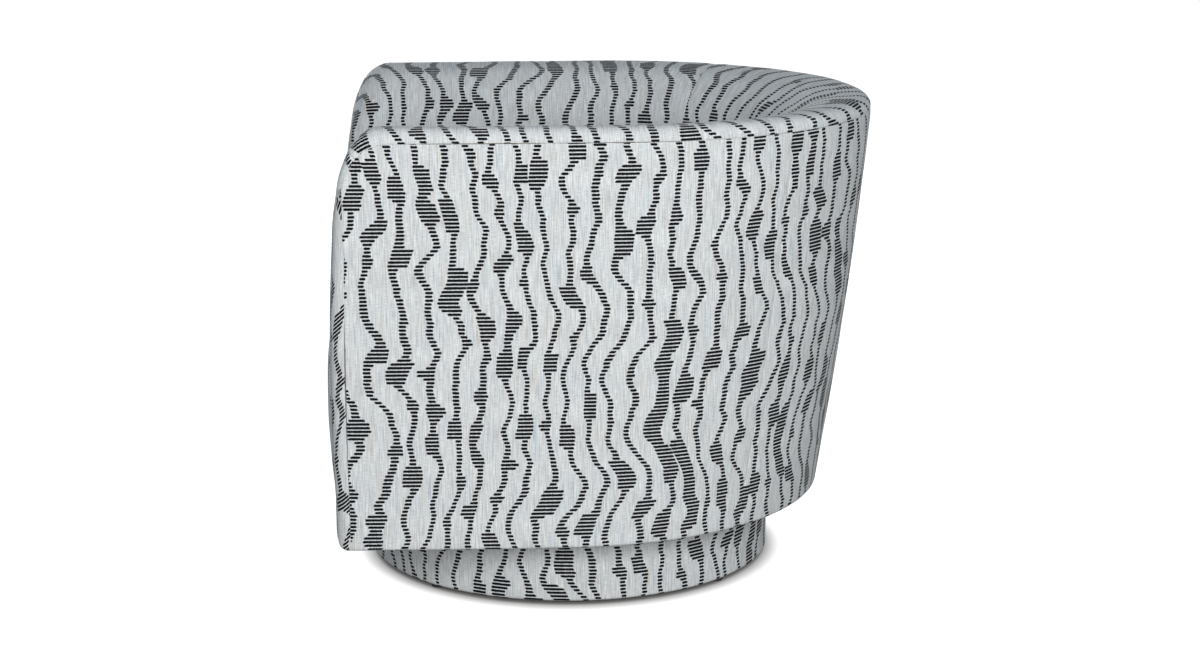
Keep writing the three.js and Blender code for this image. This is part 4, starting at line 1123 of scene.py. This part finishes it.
def cover_fabric(kit):
    """Pale woven cloth with fine warm and cool threads and dark wavering dashes."""
    material, tree, shader = new_material("cover_fabric")
    cloth = kit.cloth
    colours = kit.colours
    place = tree.add("ShaderNodeUVMap", uv_map=CLOTH_MAP).outputs[0]
    dashes = tree.group(
        kit.groups["dashes"],
        vector=place,
        spacing=cloth.line_spacing,
        pitch=cloth.dash_pitch,
        length=cloth.dash_length,
        thickness=cloth.dash_thickness,
        sway=cloth.line_sway,
        swell=cloth.dash_swell,
    )
    threads = tree.group(kit.groups["threads"], vector=place, thread=cloth.thread)
    warm = tree.ramp(threads["Broad"], 0.52, 0.68, 0.0, 0.55)
    cool = tree.ramp(threads["Broad"], 0.47, 0.33, 0.0, 0.6)
    ground = tree.mix(warm, colour(colours.ground), colour(colours.warm_thread))
    ground = tree.mix(cool, ground, colour(colours.cool_thread))
    light = tree.ramp(threads["Fine"], 0.25, 0.75, 0.80, 1.16, soft=False)
    light = tree.times(light, tree.ramp(threads["Cross"], 0.25, 0.75, 0.90, 1.08))
    ground = tree.mix(1.0, ground, tree.vector(light, light, light), blend="MULTIPLY")
    yarn = tree.ramp(threads["Fine"], 0.45, 0.8)
    dark = tree.mix(yarn, colour(colours.dash), colour(colours.dash_light))
    base = tree.mix(dashes["Dash"], ground, dark)
    rough = tree.ramp(threads["Fine"], 0.3, 0.7, 0.82, 0.95)
    shader.inputs["Specular IOR Level"].default_value = 0.12
    shader.inputs["Sheen Weight"].default_value = 0.03
    shader.inputs["Sheen Roughness"].default_value = 0.45
    height = tree.times_plus(threads["Weave"], 0.35, threads["Fine"])
    height = tree.times_plus(dashes["Rise"], 1.2, height)
    join_finish(tree, shader, base, rough, height, depth=0.00022, strength=0.55)
    return material


def under_cloth(kit):
    """Black non-woven cloth with matted fibres."""
    material, tree, shader = new_material("under_cloth")
    place = tree.object_place()
    threads = tree.group(kit.groups["threads"], vector=place, thread=0.0012)
    matted = tree.noise(place, scale=900.0, detail=3.0)
    dust = tree.ramp(tree.noise(place, scale=9.0, detail=3.0), 0.4, 0.8, 0.0, 0.5)
    fibre = tree.ramp(matted, 0.3, 0.7)
    base = tree.mix(fibre, colour(kit.colours.dust_cloth), colour(MATTED_FIBRE))
    base = tree.mix(dust, base, colour(SETTLED_DUST))
    height = tree.times_plus(threads["Weave"], 0.4, matted)
    join_finish(tree, shader, base, 0.93, height, depth=0.0003, strength=0.6)
    return material


def grained(kit, name, light, dark, scale, stretch, rough, layers=False):
    """Timber, ply or board: one grain with its own colours."""
    material, tree, shader = new_material(name)
    place = tree.object_place()
    grain = tree.group(kit.groups["grain"], vector=place, scale=scale, stretch=stretch)
    base = tree.mix(tree.ramp(grain["Figure"], 0.32, 0.68), colour(light), colour(dark))
    pores = tree.ramp(grain["Pores"], 0.36, 0.28, 0.0, 0.55)
    base = tree.mix(pores, base, colour([c * 0.45 for c in dark]))
    if layers:
        _, _, z = tree.split(place)
        ply = tree.math("SINE", tree.times(z, 2 * math.pi / PLY_THICKNESS))
        glue = tree.ramp(ply, 0.86, 0.98, 0.0, 0.5)
        facing = tree.add("ShaderNodeNewGeometry").outputs["Normal"]
        side = tree.ramp(tree.math("ABSOLUTE", tree.split(facing)[2]), 0.7, 0.3)
        base = tree.mix(tree.times(glue, side), base, colour([c * 0.4 for c in dark]))
    rough = tree.ramp(grain["Figure"], 0.3, 0.7, rough, rough + 0.12)
    shader.inputs["Specular IOR Level"].default_value = 0.35
    height = tree.times_plus(grain["Pores"], 0.6, grain["Figure"])
    join_finish(tree, shader, base, rough, height, depth=0.0002, strength=0.5)
    return material


def metal(kit, name, light, dark, rough):
    """Bare or plated steel with fine scuffs."""
    material, tree, shader = new_material(name)
    place = tree.object_place()
    scuffs = tree.group(kit.groups["scuffs"], vector=place, scale=420.0)
    base = tree.mix(tree.ramp(scuffs["Patch"], 0.3, 0.7), colour(light), colour(dark))
    shader.inputs["Metallic"].default_value = 1.0
    rough = tree.ramp(scuffs["Scuff"], 0.3, 0.7, rough, rough + 0.2)
    join_finish(tree, shader, base, rough, scuffs["Scuff"], depth=0.00006, strength=0.4)
    return material


def nylon(kit):
    """Moulded black nylon with a fine spark-eroded grain."""
    material, tree, shader = new_material("nylon")
    place = tree.object_place()
    scuffs = tree.group(kit.groups["scuffs"], vector=place, scale=700.0)
    grain = tree.noise(place, scale=2600.0, detail=1.0)
    worn = tree.ramp(scuffs["Patch"], 0.35, 0.75)
    base = tree.mix(worn, colour(kit.colours.nylon), colour(WORN_NYLON))
    rough = tree.ramp(scuffs["Scuff"], 0.3, 0.7, 0.42, 0.6)
    join_finish(tree, shader, base, rough, grain, depth=0.00005, strength=0.5)
    return material


class Kit:
    """Node groups and finishes that the operators share."""

    def __init__(self, scene):
        self.sizes = scene.barrel_chair_sizes
        self.cloth = scene.barrel_chair_cloth
        self.colours = scene.barrel_chair_colours
        self.groups = {
            "dashes": wandering_dashes_group(),
            "threads": thread_group(),
            "grain": grain_group(),
            "scuffs": scratch_group(),
        }
        colours = self.colours
        self.finishes = {
            "cover_fabric": cover_fabric(self),
            "under_cloth": under_cloth(self),
            "timber": grained(
                self, "timber", colours.timber, DARK_TIMBER, scale=55.0, stretch=0.07, rough=0.55
            ),
            "plywood": grained(
                self, "plywood", colours.plywood, DARK_PLYWOOD,
                scale=42.0, stretch=0.1, rough=0.6, layers=True,
            ),
            "fibre_board": grained(
                self, "fibre_board", LIGHT_BOARD, DARK_BOARD, scale=300.0, stretch=0.8, rough=0.8
            ),
            "nylon": nylon(self),
        }
        for name, (light, dark, rough) in STEELS.items():
            self.finishes[name] = metal(self, name, light, dark, rough)


_kit = []


def kit():
    """The shared kit, made when it is first needed."""
    if not _kit:
        _kit.append(Kit(bpy.context.scene))
    return _kit[0]


def length(label, meaning, default):
    """A length in metres for the panel."""
    return FloatProperty(name=label, description=meaning, default=default, unit="LENGTH")


def paint(label, meaning, default):
    """A colour for the panel."""
    return FloatVectorProperty(
        name=label, description=meaning, subtype="COLOR", default=default
    )


class BarrelChairSizes(bpy.types.PropertyGroup):
    """Sizes of the covers' make."""

    mesh_step: length("Mesh step", "Distance between the covers' mesh lines", 0.0055)
    seam_radius: length("Seam radius", "Roundness of the cloth where it turns into a seam", 0.0013)
    seam_depth: length("Seam depth", "How far the cloth goes into a seam", 0.004)
    seam_dip: length("Seam dip", "How far a panel falls towards its seams", 0.0009)
    pucker_height: length("Pucker height", "Height of the small puckers along seams", 0.00022)
    gather_height: length("Gather height", "Height of the gathers at the arms' top corners", 0.0011)
    hem_radius: length("Hem radius", "Roundness of the lower edge", 0.0045)
    hem_turn: length("Hem turn", "How far the cloth is turned under", 0.018)
    seat_edge_radius: length("Seat edge radius", "Roundness of the seat's cover at its edge", 0.0025)
    tuck_height: length("Tuck height", "Height of the soft pulls along the seat's edges", 0.0006)
    tuck_depth: length("Tuck depth", "How far the seat's cover goes down beside it", 0.035)
    softness: length("Softness", "Height of the gentle unevenness of the padding", 0.0011)
    softness_span: length("Softness span", "Width of the gentle unevenness of the padding", 0.085)


class BarrelChairCloth(bpy.types.PropertyGroup):
    """Layout of the woven dashes."""

    line_spacing: length("Line spacing", "Distance between the lines of dashes", 0.0325)
    dash_pitch: length("Dash pitch", "Distance from dash to dash along a line", 0.0050)
    dash_length: length("Dash length", "Length of the shortest dashes", 0.0088)
    dash_thickness: length("Dash thickness", "Thickness of a dash", 0.0035)
    dash_swell: length("Dash swell", "How much longer the dashes grow where a line swells", 0.017)
    line_sway: length("Line sway", "How far the lines lean to and fro together", 0.085)
    thread: length("Thread", "Distance from thread to thread", 0.0009)


class BarrelChairColours(bpy.types.PropertyGroup):
    """Colours of the cloth and the other finishes."""

    ground: paint("Ground", "Pale ground of the cloth", (0.635, 0.655, 0.662))
    warm_thread: paint("Warm thread", "Beige thread in the ground", (0.47, 0.43, 0.39))
    cool_thread: paint("Cool thread", "Grey-blue thread in the ground", (0.42, 0.47, 0.52))
    dash: paint("Dash", "Dark yarn of the dashes", (0.004, 0.004, 0.006))
    dash_light: paint("Dash light", "Lighter threads in the dashes", (0.012, 0.013, 0.017))
    dust_cloth: paint("Dust cloth", "Black cloth under the tub and the seat", (0.012, 0.012, 0.013))
    timber: paint("Timber", "Planed beech", (0.60, 0.42, 0.24))
    plywood: paint("Plywood", "Birch plywood", (0.68, 0.52, 0.33))
    nylon: paint("Nylon", "Moulded nylon", (0.018, 0.018, 0.02))


def upholster_sides(made, softness):
    """Makes the covers of one side of the tub's wall, each with its own unevenness."""
    span = bpy.context.scene.barrel_chair_sizes.softness_span
    for seed, (node, patches) in enumerate(made.items()):
        upholster(f"{node}_cover", patches, (softness, span, seed), "tub", node)


def upholster(name, patches, softening, body, node):
    """Makes a padded cover that rides on its body and stands for its CAD node."""
    piece = cover(name, patches)
    soften(piece, *softening)
    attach(piece, body)
    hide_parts(node)


class CHAIR_OT_outside_covers(bpy.types.Operator):
    """Makes the outside panels of the arms and the back"""

    bl_idname = "chair.outside_covers"
    bl_label = "Outside covers"

    def execute(self, context):
        sizes = context.scene.barrel_chair_sizes
        right = outside_arm_patches(sizes)
        made = {
            "outside_arm_right": right,
            "outside_arm_left": mirrored(right, OUTSIDE_LEFT_SHIFT),
            "outside_back": outside_back_patches(sizes),
        }
        upholster_sides(made, sizes.softness * OUTSIDE_SOFTNESS)
        return {"FINISHED"}


class CHAIR_OT_inside_covers(bpy.types.Operator):
    """Makes the padded inside of the arms and the back, with the rolled rim"""

    bl_idname = "chair.inside_covers"
    bl_label = "Inside covers"

    def execute(self, context):
        sizes = context.scene.barrel_chair_sizes
        right = inside_arm_patches(sizes)
        made = {
            "inside_arm_right": right,
            "inside_arm_left": mirrored(right, INSIDE_LEFT_SHIFT),
            "inside_back": inside_back_patches(sizes),
        }
        upholster_sides(made, sizes.softness * INSIDE_SOFTNESS)
        return {"FINISHED"}


class CHAIR_OT_seat_cover(bpy.types.Operator):
    """Makes the tight seat whose cover falls over the front rail"""

    bl_idname = "chair.seat_cover"
    bl_label = "Seat cover"

    def execute(self, context):
        sizes = context.scene.barrel_chair_sizes
        softening = (sizes.softness, sizes.softness_span * SEAT_SOFT_SPAN, 7)
        patches = seat_patches(sizes)
        upholster("seat_cover", patches, softening, "tub", "seat_pad")
        return {"FINISHED"}


class CHAIR_OT_plinth_cover(bpy.types.Operator):
    """Makes the cloth round the plinth"""

    bl_idname = "chair.plinth_cover"
    bl_label = "Plinth cover"

    def execute(self, context):
        sizes = context.scene.barrel_chair_sizes
        softening = (sizes.softness * PLINTH_SOFTNESS, sizes.softness_span, 9)
        patches = plinth_patches(sizes)
        upholster("plinth_cloth", patches, softening, "plinth", "plinth_cover")
        return {"FINISHED"}


class CHAIR_OT_frame_finishes(bpy.types.Operator):
    """Gives every piece of the frame, the springs and the bearing its finish"""

    bl_idname = "chair.frame_finishes"
    bl_label = "Frame finishes"

    def execute(self, context):
        for part in frame["record"]["subparts"]:
            mesh = frame["nodes"][part["node"]].data
            mesh.materials.clear()
            mesh.materials.append(kit().finishes[part["material_slot"]])
        return {"FINISHED"}


# The view, from the fitted camera of the picture
CAMERA_PLACE = Vector((3.4351, -0.2380, 1.1222))
CAMERA_HEADING = math.radians(176.027)
CAMERA_TILT = math.radians(-13.136)
CAMERA_LENS = 72.76
SENSOR = 36.0
VIEW_REACH = 100.0

# The floor: its own colours, the glow that the camera sees, and the painted contact shadow where that glow fades
# near the chair
FLOOR_REACH = 40.0
FLOOR_COLOURS = ((0.22, 0.216, 0.205), (0.235, 0.231, 0.219))
FLOOR_GLOW = 1.05
PAINTED_SHADOW_REACH = 0.028
PAINTED_SHADOW_FADE = 1.9

# The studio lights, each with its name, place, size, power and tint; all face the same place
SKY_COLOUR = (0.80, 0.90, 1.0)
SKY_STRENGTH = 0.26
LIT_PLACE = Vector((0.1, 0.0, 0.33))
LIGHTS = (
    ("key", (3.4, -0.10, 1.36), (1.7, 1.4), 102.0, (0.985, 0.99, 0.98)),
    ("far side", (-3.1, -0.5, 0.80), (2.4, 1.2), 85.0, (0.97, 0.985, 1.0)),
    ("front", (-1.3, -3.0, 0.7), (2.2, 1.2), 14.0, (0.97, 0.985, 1.0)),
    ("fill", (0.9, 3.3, 1.2), (2.2, 1.6), 21.0, (0.96, 0.98, 1.0)),
)


def area_light(name, place, size, power, tint):
    """A soft rectangular light that faces the chair."""
    data = bpy.data.lights.new(name, "AREA")
    data.shape = "RECTANGLE"
    data.size, data.size_y = size
    data.energy = power
    data.color = tint
    light = bpy.data.objects.new(name, data)
    light.location = place
    light.rotation_euler = (LIT_PLACE - light.location).to_track_quat("-Z", "Y").to_euler()
    bpy.context.scene.collection.objects.link(light)


def floor_finish():
    """Plain pale floor; its glow lights nothing, and close under what stands on it the glow fades into a painted
    contact shadow.
    """
    material, tree, shader = new_material("pale_floor")
    place = tree.object_place()
    cloud = tree.noise(place, scale=1.3, detail=2.0)
    shade = tree.mix(cloud, *(colour(values) for values in FLOOR_COLOURS))
    tree.put(shade, shader.inputs["Base Color"])
    shader.inputs["Roughness"].default_value = 0.9
    shader.inputs["Specular IOR Level"].default_value = 0.1
    shader.inputs["Emission Color"].default_value = (1, 1, 1, 1)
    seen = tree.add("ShaderNodeLightPath").outputs["Is Camera Ray"]
    # Painted contact shadow: ambient occlusion dims the camera-seen glow close under what stands on the floor
    near = tree.add("ShaderNodeAmbientOcclusion", samples=12)
    near.inputs["Distance"].default_value = PAINTED_SHADOW_REACH
    painted_shadow_factor = tree.math("POWER", near.outputs["AO"], PAINTED_SHADOW_FADE)
    glow = tree.times(painted_shadow_factor, FLOOR_GLOW)
    tree.put(tree.times(seen, glow), shader.inputs["Emission Strength"])
    return material


def floor_sheet():
    """The floor, wide enough to fill every view."""
    build = bmesh.new()
    bmesh.ops.create_grid(build, x_segments=8, y_segments=8, size=FLOOR_REACH)
    mesh = bpy.data.meshes.new("floor")
    build.to_mesh(mesh)
    build.free()
    mesh.materials.append(floor_finish())
    floor = bpy.data.objects.new("floor", mesh)
    bpy.context.scene.collection.objects.link(floor)
    return floor


def studio_sky():
    """Even light from all round."""
    world = bpy.data.worlds.new("studio")
    world.use_nodes = True
    sky = world.node_tree.nodes["Background"].inputs
    sky["Color"].default_value = colour(SKY_COLOUR)
    sky["Strength"].default_value = SKY_STRENGTH
    return world


def picture_camera():
    """The camera at the place, heading, tilt and lens of the picture's."""
    data = bpy.data.cameras.new("camera")
    data.lens = CAMERA_LENS
    data.sensor_width = SENSOR
    data.sensor_fit = "HORIZONTAL"
    data.clip_end = VIEW_REACH
    camera = bpy.data.objects.new("camera", data)
    camera.location = CAMERA_PLACE
    level = math.cos(CAMERA_TILT)
    across = level * math.cos(CAMERA_HEADING)
    along = level * math.sin(CAMERA_HEADING)
    view = Vector((across, along, math.sin(CAMERA_TILT)))
    camera.rotation_euler = view.to_track_quat("-Z", "Y").to_euler()
    bpy.context.scene.collection.objects.link(camera)
    return camera


class CHAIR_OT_stage(bpy.types.Operator):
    """Makes the floor, the light and the camera"""

    bl_idname = "chair.stage"
    bl_label = "Stage"

    def execute(self, context):
        scene = context.scene
        floor = floor_sheet()
        scene.world = studio_sky()
        for light in LIGHTS:
            area_light(*light)
        scene.camera = picture_camera()
        scene.view_settings.view_transform = "Standard"
        return {"FINISHED"}


OPERATORS = (
    CHAIR_OT_outside_covers,
    CHAIR_OT_inside_covers,
    CHAIR_OT_seat_cover,
    CHAIR_OT_plinth_cover,
    CHAIR_OT_frame_finishes,
    CHAIR_OT_stage,
)


class CHAIR_PT_sidebar(bpy.types.Panel):
    """Lists the chair's operators and the sizes and colours that they use"""

    bl_idname = "CHAIR_PT_sidebar"
    bl_label = "Barrel Chair"
    bl_space_type = "VIEW_3D"
    bl_region_type = "UI"
    bl_category = "Barrel Chair"

    def draw(self, context):
        scene = context.scene
        column = self.layout.column()
        for operator in OPERATORS:
            column.operator(operator.bl_idname)
        for group in (
            scene.barrel_chair_sizes,
            scene.barrel_chair_cloth,
            scene.barrel_chair_colours,
        ):
            box = self.layout.box()
            for name in group.__annotations__:
                box.prop(group, name)


CLASSES = (
    BarrelChairSizes,
    BarrelChairCloth,
    BarrelChairColours,
    *OPERATORS,
    CHAIR_PT_sidebar,
)


def register():
    for cls in CLASSES:
        bpy.utils.register_class(cls)
    bpy.types.Scene.barrel_chair_sizes = PointerProperty(type=BarrelChairSizes)
    bpy.types.Scene.barrel_chair_cloth = PointerProperty(type=BarrelChairCloth)
    bpy.types.Scene.barrel_chair_colours = PointerProperty(type=BarrelChairColours)


def unregister():
    del bpy.types.Scene.barrel_chair_colours
    del bpy.types.Scene.barrel_chair_cloth
    del bpy.types.Scene.barrel_chair_sizes
    for cls in reversed(CLASSES):
        bpy.utils.unregister_class(cls)


def main():
    register()
    bpy.ops.chair.stage()
    bpy.ops.chair.outside_covers()
    bpy.ops.chair.inside_covers()
    bpy.ops.chair.seat_cover()
    bpy.ops.chair.plinth_cover()
    bpy.ops.chair.frame_finishes()


if __name__ == "__main__":
    main()
